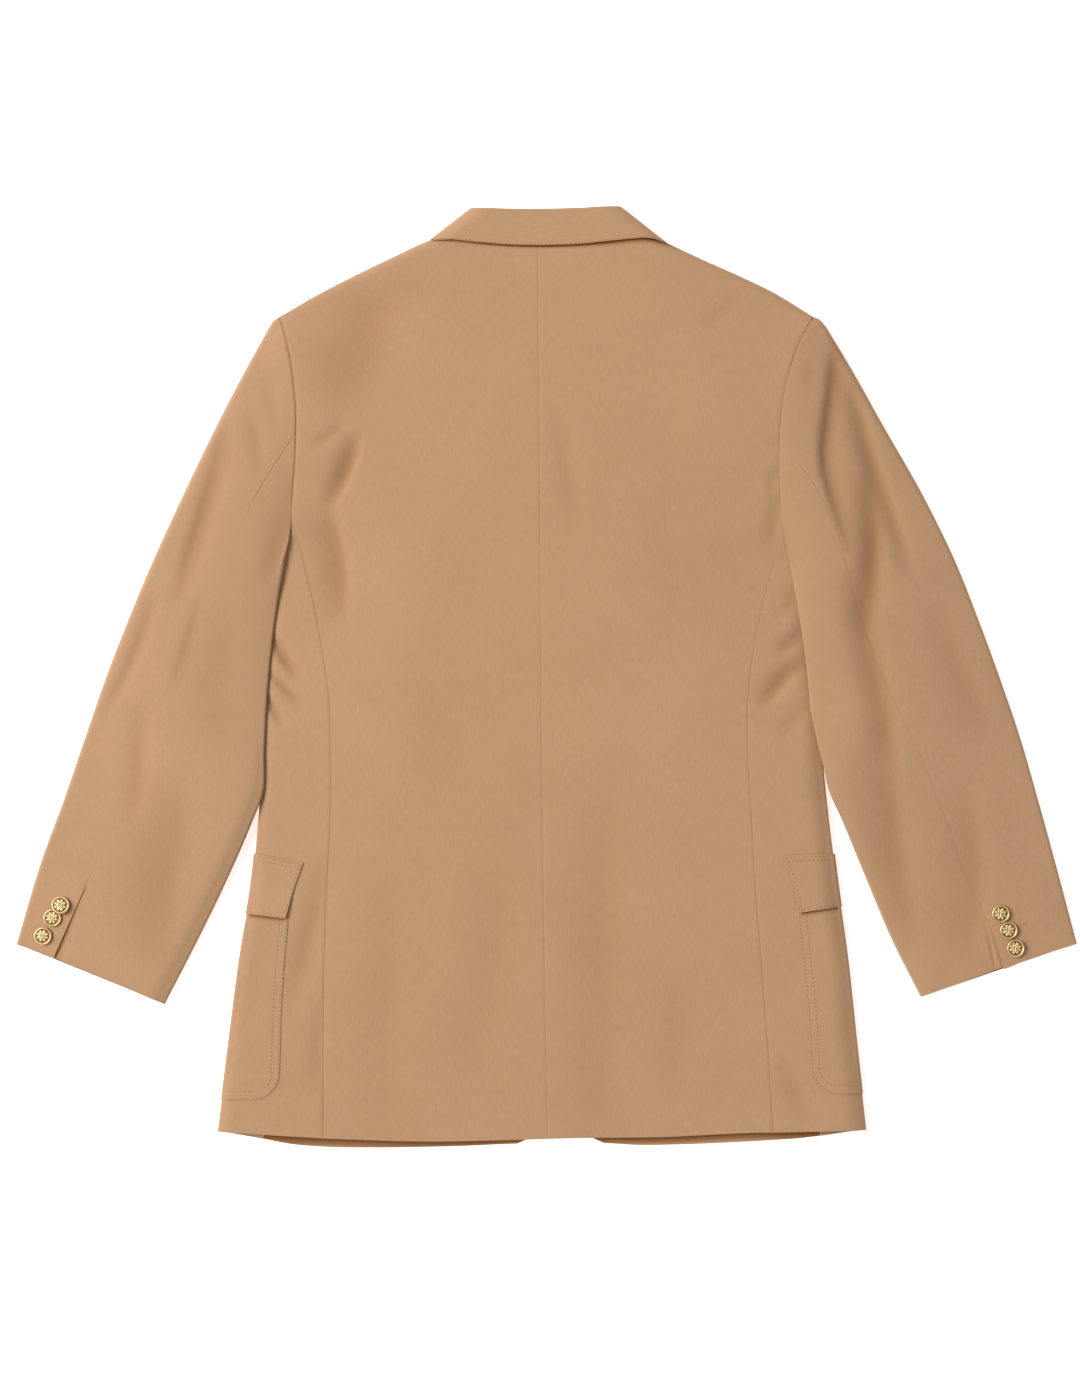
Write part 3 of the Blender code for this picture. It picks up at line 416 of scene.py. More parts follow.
def sew(name, face, material, faces_up=True, wall=WALL, rim=0.25, painted_shade=None, wrong_side=None):
    """A piece of cloth whose outer face runs through a grid of points, given its thickness inwards.

    Values given at each point are painted shade: 1 in a hard fold, up to 2 under an edge.
    wrong_side is the material of the inner face, where it isn't the same.
    """
    rows, columns = face.shape[:2]
    bm = bmesh.new()
    bmesh.ops.create_grid(bm, x_segments=columns - 1, y_segments=rows - 1, size=1)
    piece = add_piece(name, bm, material)
    mesh = piece.data
    points = (face - (0, MIDDLE_Y, 0)) * MM
    mesh.vertices.foreach_set("co", points.astype(np.float32).ravel())
    mesh.update()
    if (mesh.polygons[0].normal.z > 0) != faces_up:
        mesh.flip_normals()
    across = np.cumsum(np.linalg.norm(np.diff(points, axis=1, prepend=points[:, :1]), axis=2), axis=1)
    down = np.cumsum(np.linalg.norm(np.diff(points, axis=0, prepend=points[:1]), axis=2), axis=0)
    laid = np.stack((across, down), axis=2).reshape(-1, 2)
    corners = np.zeros(len(mesh.loops), int)
    mesh.loops.foreach_get("vertex_index", corners)
    mesh.uv_layers.new(name="cloth").data.foreach_set("uv", laid[corners].astype(np.float32).ravel())
    # the painted shade is stored as a point attribute, which the material multiplies in
    if painted_shade is not None:
        painted_shade_values = mesh.attributes.new("painted_shade", "FLOAT", "POINT")
        painted_shade_values.data.foreach_set("value", painted_shade.astype(np.float32).ravel())
    thick = piece.modifiers.new("wall", "SOLIDIFY")
    thick.thickness = wall * MM
    thick.offset = -1
    if wrong_side:
        mesh.materials.append(wrong_side)
        thick.material_offset = 1
    edge = piece.modifiers.new("edge", "BEVEL")
    edge.width = rim * MM
    edge.segments = 2
    edge.limit_method = "ANGLE"
    edge.angle_limit = math.radians(60)
    return piece


def lay(piece, face, node):
    """Fix a cloth piece to the frame, and state the cut of the cloth that it is laid out from."""
    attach(piece, "root")
    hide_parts(node)
    points = face * MM
    width = np.linalg.norm(np.diff(points, axis=1), axis=2).sum(axis=1)
    length = np.linalg.norm(np.diff(points, axis=0), axis=2).sum(axis=0)
    a, b, c, d = points[:-1, :-1], points[:-1, 1:], points[1:, 1:], points[1:, :-1]
    area = np.linalg.norm(np.cross(c - a, d - b), axis=2).sum() / 2
    flat = (round(float(width.max()), 3), round(float(length.max()), 3))
    area = round(min(float(area), flat[0] * flat[1]), 4)
    print("CUT %s: %.0f x %.0f mm, %.4f m2" % (node, flat[0] * 1000, flat[1] * 1000, area))


# the painted shade darkens the cloth towards this warm brown
wool = gabardine("wool_gabardine", painted_shade="#DCCEBC")

for side, hand in SIDES:
    u = steps(BACK_WIDE, 3.5)
    # the rows are close together at the top, where the back rounds off and the collar shades it
    v = np.union1d(steps(BACK_LONG, 4), 1 - np.arange(0.8, 18, 0.8) / BACK_LONG)
    outer = curve(SIDE_SEAM[side] + ARMHOLE[side][2:], v)
    top = curve(SHOULDER[side] + [(side * x, y) for x, y in BACK_NECK[:-1]] + [CENTRE_TOP], u)
    centre_y = np.interp(v, (0, 1), (CENTRE_HEM, CENTRE_TOP[1]))
    centre = np.stack((read(CENTRE_SEAM, 1, centre_y), centre_y), axis=1)
    plan = panel_plan(BACK_HEM, top, outer, centre, u, v)
    x, y = plan[..., 0], plan[..., 1]
    from_outer, from_centre = u[None] * widths(plan), (1 - u[None]) * widths(plan)
    at_armhole = smooth((y - ARMHOLE[side][0][1]) / 30)
    outer_dip = mix(bell(from_outer, SEAM_DIP[side]), bell(from_outer, ARMHOLE_DIP[side], 1.5), at_armhole)
    height = back_height(side, x, y) - outer_dip - bell(from_centre, CENTRE_DIP)
    face = np.dstack((x, y, height))
    # a last row turns down into the shoulder seam, and over the neck's edge between the shoulders
    ridge = face[-1:].copy()
    share = on_shoulder(ridge[..., 0])
    ridge[..., 2] = mix(ridge[..., 2], SHOULDER_OVER, share)
    ridge[..., 1] += 1 - share
    face[-1:, :, 2] = mix(face[-1:, :, 2], ridge[..., 2] + SHOULDER_DROP, share)
    face = np.concatenate((face, ridge))
    # painted shade: in the folds, along the seams and as a shadow under the collar's leaf edge
    painted_shade = painted_fold_shade(BODY_FOLDS, face)
    painted_shade[:-1] += bell(from_outer, mix(SEAM_PAINTED_SHADE[side], ARMHOLE_PAINTED_SHADE[side], at_armhole), 1.1)
    painted_shade[:-1] += bell(from_centre, CENTRE_PAINTED_SHADE)
    painted_shade[:-1] += bell(read(LEAF_EDGE, 1, x) - 0.5 - y, 2.0, read(LEAF_EDGE, 2, x))
    piece = sew("back_panel_" + hand, face, wool, painted_shade=painted_shade)
    lay(piece, face, "back_" + hand)


# ---------------------------------------------------------------- fronts
# Two fronts lie face down under the back, the right one lapped over the left one at the buttons.
# Their curved hems reach a few millimetres past the back's hem, and they turn up to the shoulder seams.
# Their outer faces are the blazer's underside, which rides up a little over the buttons.

FRONT_HEM = {
    -1: [(-236, -383.8), (-205, -389.3), (-180, -391), (-136, -391.2), (-100, -390.3), (-60, -389),
         (-25, -387)],
    1: [(227, -381.3), (190, -385), (155, -387), (110, -388.8), (75, -389.3), (47, -387.3)],
}
HEM_TUCK = 2.6      # how far the front's hem rolls down towards the table past the back's hem
FRONT_EDGE = {  # hem to neck; the right front laps over the left
    -1: [(-25, -387), (2, -373), (16, -345), (20, -300), (20, -170), (20, -60), (8, -8),
         (-20, 106), (-50, 226), (-61, 270), (-69, 292), (-78, 328), (-86, 346), (-94, 359)],
    1: [(47, -387.3), (8, -366), (-12, -330), (-20, -280), (-20, -170), (-20, -60), (-8, -8),
        (20, 106), (50, 226), (61, 270), (69, 292), (78, 328), (87, 345), (97, 357.5)],
}
FRONT_WIDE = 230
BUTTON_RISE = 1.8   # how far the buttons lift the fronts, over this half width and between these two y
BUTTON_RISE_WIDE = 110
BUTTON_RISE_ENDS = (-340, 110)
BUTTON_RISE_RUN = 130
LAP_EDGE = -24      # where the left front starts to climb on to the right one, and by how much
LEFT_FRONT_STEP = 2.5
FRONT_SEAM_IN = 38  # how far the front's side seam lies in from the side edge, low down and at its top
FRONT_SEAM_TOP = 9.3
FRONT_SEAM_BENDS = (-60, 130)       # y between which it comes out to the edge
FRONT_SEAM_DIP = 0.18


def front_height(side, x, y):
    """Outer face of the fronts, which rides up over the buttons and rounds up at the shoulder."""
    low, high = BUTTON_RISE_ENDS
    ends = smooth((y - low) / BUTTON_RISE_RUN) * smooth((high - y) / BUTTON_RISE_RUN)
    height = FRONT_FLOOR + BUTTON_RISE * smooth(1 - np.abs(x) / BUTTON_RISE_WIDE) * ends
    below = np.maximum(shoulder_line(side, x) - y, 0)
    rounded = mix(SHOULDER_UNDER, height, shoulder_turn(below))
    return np.where(np.abs(x) > SHOULDER_IN, rounded, height)


def front_seam_in(y):
    """How far the front's side seam lies in from the side edge."""
    low, high = FRONT_SEAM_BENDS
    return mix(FRONT_SEAM_IN, FRONT_SEAM_TOP, smooth((y - low) / (high - low)))


def in_from_edge(side, y, inward):
    """Places x, y that lie a distance in from the side edge."""
    return np.stack((side_edge(side, y) - side * inward, y), axis=1)


# The strip of their inner face that shows past the back's hem carries a painted shadow; the outer face has
# no painted shade.
wool_without_painted_shade = gabardine("wool_gabardine_without_painted_shade", painted_shade="#FFFFFF")

for side, hand in SIDES:
    u = steps(FRONT_WIDE, 6)
    v = steps(BACK_LONG, 6)
    seam_y = curve(SIDE_SEAM[side], np.linspace(0, 1, 30))[:, 1]
    seam = in_from_edge(side, seam_y, front_seam_in(seam_y))
    seam[0, 1] = read(FRONT_HEM[side], 1, seam[0, 0])
    outer = curve(list(seam[:-2]) + [p[:2] for p in ARMHOLE[side][1:]], v)
    centre = curve(FRONT_EDGE[side], v)
    plan = panel_plan(FRONT_HEM[side], curve(SHOULDER[side], u), outer, centre, u, v)
    x, y = plan[..., 0], plan[..., 1]
    height = front_height(side, x, y)
    if side < 0:
        height = height + LEFT_FRONT_STEP * smooth((x - 2 * LAP_EDGE) / -LAP_EDGE)
    height = height + bell(u[None] * FRONT_WIDE, FRONT_SEAM_DIP)
    past_hem = read(BACK_HEM, 1, x) - y
    height = height - HEM_TUCK * smooth((past_hem + 2) / 8) * smooth(u[None] * FRONT_WIDE / 40)
    height[-1] = SHOULDER_UNDER
    face = np.dstack((x, y, height))
    # a last row turns up into the shoulder seam
    face = np.concatenate((face, face[-1:] + (0, 0, SHOULDER_DROP)))
    # painted shadow of the back's hem: full under the back and at its hem, gone 9 mm past it
    above_hem = face[..., 1] - read(BACK_HEM, 1, face[..., 0])
    painted_shade = 1.7 * smooth(1 + np.minimum(above_hem, 0) / 9) * smooth(3 - above_hem / 20)
    piece = sew("front_panel_" + hand, face, wool_without_painted_shade, faces_up=False, painted_shade=painted_shade, wrong_side=wool)
    lay(piece, face, "front_" + hand)


# ---------------------------------------------------------------- side panels
# A narrow panel on each side runs from the back's side seam round the folded edge to a seam in the front.
# It is sewn to the back and the front, and its top is cut away into the underarm.

SIDE_LONG = 515
SIDE_TOP = 50           # how wide it is above the side fold, and below it
SIDE_UNDER = 36
UNDERARM_DROP = 7
FAN_FROM = 92           # y above which the rows fan out into the underarm
FOLD_TURN = np.radians(np.linspace(90, -90, 11))[1:-1]


def wrap_side(side, back, edge_y, front_y, front_in, out, top_steps, under_steps):
    """Rows of points from the back, round the fold at the side of the body, to the front.

    back is where each row starts, x and y; out is how far the rows lie outside the body's own cloth.
    """
    edge_y, front_y = edge_y[:, None], front_y[:, None]
    fold_x = side_edge(side, edge_y) - side * SIDE_FOLD
    share = top_steps[None]
    x = mix(back[:, :1], fold_x, share)
    y = mix(back[:, 1:], edge_y, share)
    top = np.dstack((x, y, back_height(side, x, y) + out))
    high = (edge_height(side, edge_y) - FRONT_FLOOR) / 2
    x = fold_x + side * (SIDE_FOLD + out) * np.cos(FOLD_TURN)
    z = FRONT_FLOOR + high + (high + out) * np.sin(FOLD_TURN)
    fold = np.dstack((x, np.broadcast_to(edge_y, x.shape), z))
    share = under_steps[None]
    y = mix(edge_y, front_y, share)
    x = side_edge(side, y) - side * mix(SIDE_FOLD, front_in[:, None], share)
    under = np.dstack((x, y, front_height(side, x, y) - out))
    return np.concatenate((top, fold, under), axis=1)


for side, hand in SIDES:
    u = steps(SIDE_TOP, 3.2, end=False)
    under_u = steps(SIDE_UNDER, 4, start=False)
    under_u[-1] = 1 + SEAM_GAP / 2 / SIDE_UNDER
    seam = curve(SIDE_SEAM[side], steps(SIDE_LONG, 3.6))
    armpit = ARMHOLE[side][0][1] - UNDERARM_DROP
    fan = np.clip((seam[:, 1] - FAN_FROM) / (seam[-1, 1] - FAN_FROM), 0, 1)
    at_hem = 1 - smooth((seam[:, 1] - seam[0, 1]) / 60)
    hem_edge = read(BACK_HEM, 1, side_edge(side, seam[:1, 1])) - seam[0, 1]
    edge_y = np.where(fan > 0, mix(FAN_FROM, armpit, fan), seam[:, 1] + at_hem * hem_edge)
    front_x = side_edge(side, seam[:1, 1]) - side * FRONT_SEAM_IN
    hem_front = read(FRONT_HEM[side], 1, front_x) - seam[0, 1]
    front_y = np.where(fan > 0, seam[:, 1], seam[:, 1] + at_hem * hem_front)
    face = wrap_side(side, seam, edge_y, front_y, front_seam_in(seam[:, 1]), 0, u, under_u)
    face[:, :len(u), 2] -= bell(u * SIDE_TOP, SEAM_DIP[side])
    face[:, -len(under_u):, 2] += bell((1 - under_u) * SIDE_UNDER, FRONT_SEAM_DIP)
    # painted shade in the folds, none on the part in front
    painted_shade = painted_fold_shade(BODY_FOLDS, face)
    painted_shade[:, -len(under_u):] = 0
    piece = sew("side_panel_" + hand, face, wool, painted_shade=painted_shade)
    lay(piece, face, "side_" + hand)


# ---------------------------------------------------------------- sleeves
# Each sleeve is a tube of two pieces. The top sleeve wraps its outer edge and the under sleeve its inner
# edge, which lies on the body. The seam between them runs down to a vent at the cuff, where the top
# sleeve laps over the under sleeve.

SLEEVE_OUTER = {
    -1: [(-222, 298), (-226, 296), (-229, 292.5), (-235, 282), (-255, 246), (-273, 211), (-304, 147),
         (-327, 97), (-348, 47), (-367, -2), (-384.4, -52), (-401.6, -102), (-420, -152), (-441.2, -222.6)],
    1: [(220, 298), (225, 296.5), (228.5, 293), (237, 280), (257, 247), (276, 213), (313.5, 147), (338, 97),
        (358, 47), (376, -2), (393, -52), (407.4, -102), (421.2, -152), (439.8, -222)],
}
SLEEVE_INNER = {
    -1: [(-214, 114), (-218, 92), (-223, 65), (-229, 20), (-232.5, -20), (-234.5, -60), (-236, -98),
         (-244, -119), (-266, -169), (-290, -218), (-318, -272.2)],
    1: [(198, 107), (203, 81), (209, 46), (214.5, 7), (218, -28), (228, -73), (233, -94),
        (244, -119), (265, -169), (286, -218.6), (310, -266.3)],
}
SLEEVE_SEAM = {
    -1: [(-208, 201), (-224, 177), (-239, 153), (-252, 127), (-270, 76), (-297, 10), (-330, -61),
         (-357, -119), (-378, -163), (-409, -232)],
    1: [(192, 203), (201, 185), (219, 162), (234, 135), (258, 55), (279, -2), (315, -78),
        (334, -127), (350, -170), (358, -187), (367.5, -208), (378, -241)],
}
SLEEVE_WIDE = 70
SLEEVE_LONG = 500
# Columns of the lower layer, which are closer together at the fold
UNDER_SHARES = np.union1d(np.linspace(SEAM_GAP / 160, 1, 44), 1 - np.array((0.008, 0.018, 0.03, 0.045)))
ARMHOLE_SPLIT = 4    # the point of the armhole where the back seam starts
SLEEVE_LEAVES_BODY = {-1: (-108, -205), 1: (-84, -180)}   # y where the inner edge starts and ends sinking
SLEEVE_LIFT = {-1: 9.1, 1: 9.9}   # height of the inner edge above the table where it lies on the body
SLEEVE_ROUND = 5     # how wide the fold of the outer edge gets
ON_BODY = 5          # between these distances from the inner edge the lower layer sinks to the table
OFF_BODY = 17
HEAD_DOWN = 0.1      # share of the length at which the sleeve's head is down on the table
HEAD_BLEND = 0.16    # share at which the upper layer has left the height of the armhole
TUCKED_IN = 0.6      # how far the sleeve lies inside the side panel at the underarm
SLEEVE_SEAM_IN = 0.2    # share of the cuff's width at which the front seam ends
# Heights by share of the length: half the fold of the outer edge, and how far the middle bulges
OUTER_FOLD = {-1: [(0, 6.8), (0.1, 8.0), (0.25, 7.6), (0.45, 6.2), (0.7, 4.4), (1.0, 3.0)],
              1: [(0, 6.2), (0.1, 5.6), (0.3, 4.4), (0.6, 3.6), (1.0, 2.9)]}
SLEEVE_BULGE = {-1: [(0, 3.4), (0.2, 3.6), (0.5, 3.4), (0.8, 2.0), (1.0, 0.6)],
                1: [(0, 4.5), (0.2, 5.0), (0.5, 4.4), (0.8, 2.6), (1.0, 0.8)]}
VENT_TOP = {-1: 0.86, 1: 0.9}     # share of the seam at which the vent starts
VENT_LAP = 1.3       # how far the top sleeve stands over the under sleeve at the hem
VENT_SINK = {-1: 0.9, 1: 0.3}     # how far the under sleeve sinks there, and the painted shadow beside the lap: how dark and how wide
VENT_PAINTED_SHADE = {-1: 1.5, 1: 0.9}
VENT_PAINTED_SHADE_WIDE = {-1: 3.2, 1: 1.5}
VENT_UNDERLAP = 6
VENT_PLEAT = np.arange(5.8, 15.0, 0.8)    # columns of the under sleeve beside the lap, close together
VENT_STEP = 1.8      # how much lower the top sleeve's hem hangs at the vent
SEAM_FADE = {-1: 0.95, 1: 0.6}    # how far the back seam is pressed out of sight between elbow and vent
SEAM_TOP = {-1: 0, 1: 0.085}      # share above which it is pressed out of sight too
FOLDS_FROM = {-1: 0.16, 1: 0.1}   # share at which the folds reach their full depth

SLEEVE_FOLDS = {
    -1: [([(-264, 207), (-269, 188), (-275, 166), (-282, 144), (-288.5, 122), (-295, 103), (-301, 80),
           (-308, 54)], 6.5, 9, 2.6),
         ([(-324, 70), (-335, 35), (-345, 10), (-355, -10), (-368, -32)], 5, 5, 1.6),
         ([(-287, 70), (-292, 45), (-298, 25), (-305, 3), (-312, -18)], 5, 8, 1.3),
         ([(-334, -15), (-337, -60), (-340, -95), (-345, -125)], 11, 8, 1.6),
         ([(-298, -75), (-308, -130), (-316, -180), (-323, -245)], 30, 14, 1.7),
         ([(-237, 258), (-231, 235), (-225, 200)], 5, 5, 1.0),
         ([(-247, 228), (-240, 195), (-237, 160)], 8, 6, 1.3),
         ([(-206, 178), (-209, 152), (-213, 130), (-222, 102), (-235, 75)], 10, 6, 2.2),
         ([(-262, 70), (-270, 0), (-272, -70)], 22, 16, 0.9)],
    1: [([(239, 318), (238, 290), (237, 262), (235.5, 245), (233, 222), (230.5, 203), (229, 186),
          (231, 168), (236, 150), (242, 132), (248, 114), (253, 98)], 4.5, 9, 4.0),
        ([(245, 258), (257, 222), (266.5, 188), (274.5, 163), (284, 138), (294, 108), (304, 80)],
         10, 5, 3.4),
        ([(261, 172), (267, 142), (270, 118), (270, 98), (268.5, 78), (267, 58), (263, 30)], 12, 8, 4.4),
        ([(249, 92), (262, 40), (270, 5), (278, -30), (283, -75)], 14, 10, 3.0),
        ([(276, -20), (281, -70), (285, -110), (292, -160), (304, -235)], 22, 10, 2.2),
        ([(318, 68), (333, 25), (348, -8), (368, -54)], 16, 10, 1.2),
        ([(342, -85), (352, -130), (354, -190), (345, -240)], 22, 10, 1.8),
        ([(361, -198), (365, -212), (371, -238), (378, -270)], 1.3, 1.1, 0.8),
        ([(218, 262), (213, 238)], 5, 5, 1.0)],
}
INNER_FOLD = [(0, 2.3), (0.5, 2.4), (0.7, 3.4), (1, 3.0)]   # half the height of the fold at the inner edge
SLEEVE_ROLL = {-1: 3.2, 1: 1.6}      # how far the lower sleeve swells beside that fold
SLEEVE_ROLL_WIDE = 12


def away_from(point, x, y):
    """How far each place is from a point."""
    return np.hypot(x - point[0], y - point[1])


def rows_along(knots, columns, shares):
    """Rows of a table, at shares of the length of the line that two of its columns draw."""
    along = chords(knots[:, columns])
    return through(along, knots, shares * along[-1])


def unit(vectors):
    """The same directions, with a length of one."""
    return vectors / np.linalg.norm(vectors, axis=-1, keepdims=True)


def into_cloth(line, inside):
    """Square to a line of points, towards the inside."""
    run = np.gradient(line, axis=0)
    square = unit(np.stack((-run[:, 1], run[:, 0]), axis=1))
    square[((inside - line) * square).sum(axis=1) < 0] *= -1
    return square


def sleeve_fold(side, is_top, v):
    """The fold down the outer or inner edge of a sleeve: its middle, inward direction, width, base and
    half height.
    """
    inner, outer = curve(SLEEVE_INNER[side], v), curve(SLEEVE_OUTER[side], v)
    edge, far = (outer, inner) if is_top else (inner, outer)
    corner = np.array(ARMHOLE[side][-1 if is_top else 0], float)
    into = into_cloth(edge, far)
    start, end = SLEEVE_LEAVES_BODY[side]
    lift = SLEEVE_LIFT[side] * smooth((inner[:, 1] - end) / (start - end))
    if is_top:
        turn = shoulder_turn(v * SLEEVE_LONG)
        top = mix(corner[2], 2 * read(OUTER_FOLD[side], 1, v), smooth(v / HEAD_BLEND))
        top = mix(SHOULDER_OVER, top, turn)
        base = mix(SHOULDER_UNDER, FRONT_FLOOR * (1 - smooth(v / HEAD_DOWN)), turn)
        high = (top - base) / 2
        wide = np.minimum(high, SLEEVE_ROUND) * turn
    else:
        up = np.array(ARMHOLE[side][1][:2], float) - corner[:2]
        into = unit(mix(unit(up)[None], into, smooth(v / 0.09)[:, None]))
        high = read(INNER_FOLD, 1, v)
        base, wide = lift, high
    return edge + into * wide[:, None], into, wide, base, high


def upper_layer(side, is_top, u, v):
    """The layer of a sleeve piece that faces up, from the back seam to its fold, and its painted shade."""
    arm = np.array(ARMHOLE[side], float)
    knots = arm[ARMHOLE_SPLIT:] if is_top else arm[ARMHOLE_SPLIT::-1]
    inner, outer = sleeve_fold(side, False, v), sleeve_fold(side, True, v)
    middle = outer[0] if is_top else inner[0]
    down = v[:, None]
    vent = VENT_TOP[side]
    in_vent = smooth((down - vent) / 0.012)
    opening = smooth((down - vent) / (1 - vent))
    faded = 1 - SEAM_FADE[side] * smooth((down - 0.1) / 0.08) * smooth((vent - down) / 0.02)
    faded = faded * smooth((down - SEAM_TOP[side]) / 0.04 + 1)
    # the plan: the under sleeve runs on below the vent's lap, and the top sleeve's hem hangs lower there
    seam = curve(SLEEVE_SEAM[side], v)
    if not is_top:
        seam = seam + unit(outer[0] - seam) * VENT_UNDERLAP * in_vent
    cuff = mix(seam[-1], middle[-1], u[:, None])
    plan = span(curve(knots, u), cuff, seam, middle, u, v ** 0.75)
    plan[:, 0] = mix(plan[:, 0], seam, (1 - faded) * (1 - in_vent))
    if is_top:
        hang = bell(u, VENT_STEP, 0.25) * smooth((down - 0.9) / 0.1)
        plan = plan + unit(seam[-1] - seam[-4]) * hang[..., None]
    x, y = plan[..., 0], plan[..., 1]
    # the height: from the fold at the inner edge to the one at the outer edge, with a bulge between them
    to_inner = np.linalg.norm(seam - inner[0], axis=1)[:, None]
    to_outer = np.linalg.norm(seam - outer[0], axis=1)[:, None]
    across = mix(to_inner / (to_inner + to_outer), 1.0 if is_top else 0.0, u[None])
    at_inner = inner[3][:, None] + 2 * read(INNER_FOLD, 1, down)
    height = mix(at_inner, 2 * read(OUTER_FOLD[side], 1, down), across)
    height = height + read(SLEEVE_BULGE[side], 1, down) * np.sin(math.pi * across) ** 0.9
    swell = SLEEVE_ROLL[side] * smooth((down - 0.35) / 0.3) * (1 - across)
    height = height + swell * rolled(across * (to_inner + to_outer), SLEEVE_ROLL_WIDE)
    height = height + ripple(x + 40, y) * np.sin(math.pi * across) ** 0.5
    height = mix(rows_along(knots, (0, 1), u)[None, :, 2], height, smooth(down / HEAD_BLEND))
    held = smooth(down / FOLDS_FROM[side]) * smooth((1 - u[None]) * widths(plan) / 6)
    height = height - fold_depth(SLEEVE_FOLDS[side], x, y) * held
    # the seams, the shoulder and the vent, and the painted shade beside them
    from_seam, from_arm = u[None] * widths(plan), down * SLEEVE_LONG
    height = height - bell(from_seam) * (1 - in_vent) * faded - bell(from_arm, ARMHOLE_DIP[side], 1.5)
    height = mix(SHOULDER_OVER, height, shoulder_turn(away_from(arm[-1], x, y)))
    brown = bell(from_seam, SEAM_PAINTED_SHADE[side]) * (1 - in_vent) * faded
    brown = brown + bell(from_arm, ARMHOLE_PAINTED_SHADE[side], 1.3)
    if is_top:
        height = height + in_vent * bell(from_seam, mix(0.8, VENT_LAP, opening), 16)
    else:
        height = height - in_vent * bell(from_seam, mix(0.3, VENT_SINK[side], opening), 11)
        brown = brown + in_vent * bell(from_seam - VENT_UNDERLAP, mix(0.5, VENT_PAINTED_SHADE[side], opening),
                                       mix(0.9, VENT_PAINTED_SHADE_WIDE[side], opening))
    return np.dstack((x, y, height)), brown


def edge_layer(side, is_top, v):
    """The fold itself, from the upper layer round to the lower one."""
    middle, into, wide, base, high = sleeve_fold(side, is_top, v)
    plan = middle[:, None] - into[:, None] * wide[:, None, None] * np.cos(FOLD_TURN)[None, :, None]
    return np.dstack((plan, (base + high)[:, None] + high[:, None] * np.sin(FOLD_TURN)[None]))


def lower_layer(side, is_top, u, v):
    """The layer that faces down, from the front seam to the fold: on the body, then on the table."""
    arm = np.array(ARMHOLE[side], float)
    knots = arm[ARMHOLE_SPLIT:] if is_top else arm[ARMHOLE_SPLIT::-1]
    middle = sleeve_fold(side, is_top, v)[0]
    lift = sleeve_fold(side, False, v)[3][:, None]
    down = v[:, None]
    inner_cuff, outer_cuff = np.array((SLEEVE_INNER[side][-1], SLEEVE_OUTER[side][-1]), float)
    seam = mix(arm[ARMHOLE_SPLIT, :2], mix(inner_cuff, outer_cuff, SLEEVE_SEAM_IN), down)
    cuff = mix(seam[-1], middle[-1], u[:, None])
    plan = span(curve(knots, u), cuff, seam, middle, u, v)
    plan[0] += unit(plan[0] - plan[2]) * SEAM_GAP
    x, y = plan[..., 0], plan[..., 1]
    from_inner = nearest(SLEEVE_INNER[side], x, y)[0]
    height = lift * smooth((OFF_BODY - from_inner) / (OFF_BODY - ON_BODY))
    tucked = TUCKED_IN * smooth(3 - away_from(arm[0], x, y) / 12)
    height = np.maximum(height, FRONT_FLOOR * (1 - smooth(down / HEAD_DOWN)) + tucked)
    height = mix(SHOULDER_UNDER, height, shoulder_turn(away_from(arm[-1], x, y)))
    return np.dstack((x, y, height))


sleeve_tops = {}
for side, hand in SIDES:
    for is_top in (True, False):
        u = steps(SLEEVE_WIDE, 3, end=False)
        u = u if is_top else np.union1d(u, VENT_PLEAT / SLEEVE_WIDE)
        v = steps(SLEEVE_LONG, 3.4)
        upper, brown = upper_layer(side, is_top, u, v)
        lower = lower_layer(side, is_top, UNDER_SHARES, v)[:, ::-1]
        face = np.concatenate((upper, edge_layer(side, is_top, v), lower), axis=1)
        # painted shade in the folds and beside the seams, none on the lower layer
        painted_shade = painted_fold_shade(SLEEVE_FOLDS[side], face)
        painted_shade[:, :len(u)] += brown
        painted_shade[:, -len(UNDER_SHARES):] = 0
        name = ("sleeve_top_" if is_top else "sleeve_under_") + hand
        piece = sew(name + "_cloth", face, wool, rim=0.15, painted_shade=painted_shade)
        lay(piece, face, name)
        if is_top:
            sleeve_tops[hand] = face


# ---------------------------------------------------------------- collar
# A stand and fall collar, cut in one strip here. Its fall lies on the back with the leaf edge pick
# stitched, it turns round the neck at each side, and its two ends carry on under the fronts.

# From the middle of the back: x, y of the roll line and x, y of the leaf edge
COLLAR_BACK = {
    -1: [(-1, 386.3, -2, 356), (-18, 386.3, -30, 356.5), (-31, 386.4, -56, 358.5),
         (-62.8, 386.8, -97.2, 360.8)],
    1: [(-1, 386.3, -2, 356), (17, 386.8, 28, 357.2), (30, 387.2, 56, 360.1), (60, 387.9, 100, 362.2)],
}
COLLAR_CLIMB = {-1: (1.9, 1.2), 1: (2.1, -4.2)}     # how the roll line and the leaf edge climb at the turn
COLLAR_FRONT = [(59, 371, 95, 345), (58, 340, 103, 318), (62, 292, 108, 281)]
COLLAR_ROLL = 2.2    # radius of the roll line
COLLAR_TOP = 24      # heights of the collar on the back and under the fronts
COLLAR_BOTTOM = 1.2
COLLAR_TURN = (COLLAR_TOP - COLLAR_BOTTOM) / 2      # radius with which it turns round the neck
COLLAR_DROOP = 0.4   # how far the leaf edge bends down towards the back
STAND_BACK = 17      # how deep the stand is at the back, at the turn and at the front
STAND_SIDE = 10
STAND_FRONT = 3
# Stitches: length and thickness of the part that shows, and the pitch
TOP_STITCH = (2.2, 0.42, 3.4)
PICK_STITCH = (1.8, 0.5, 3.0)
STITCH_LIFT = 0.05


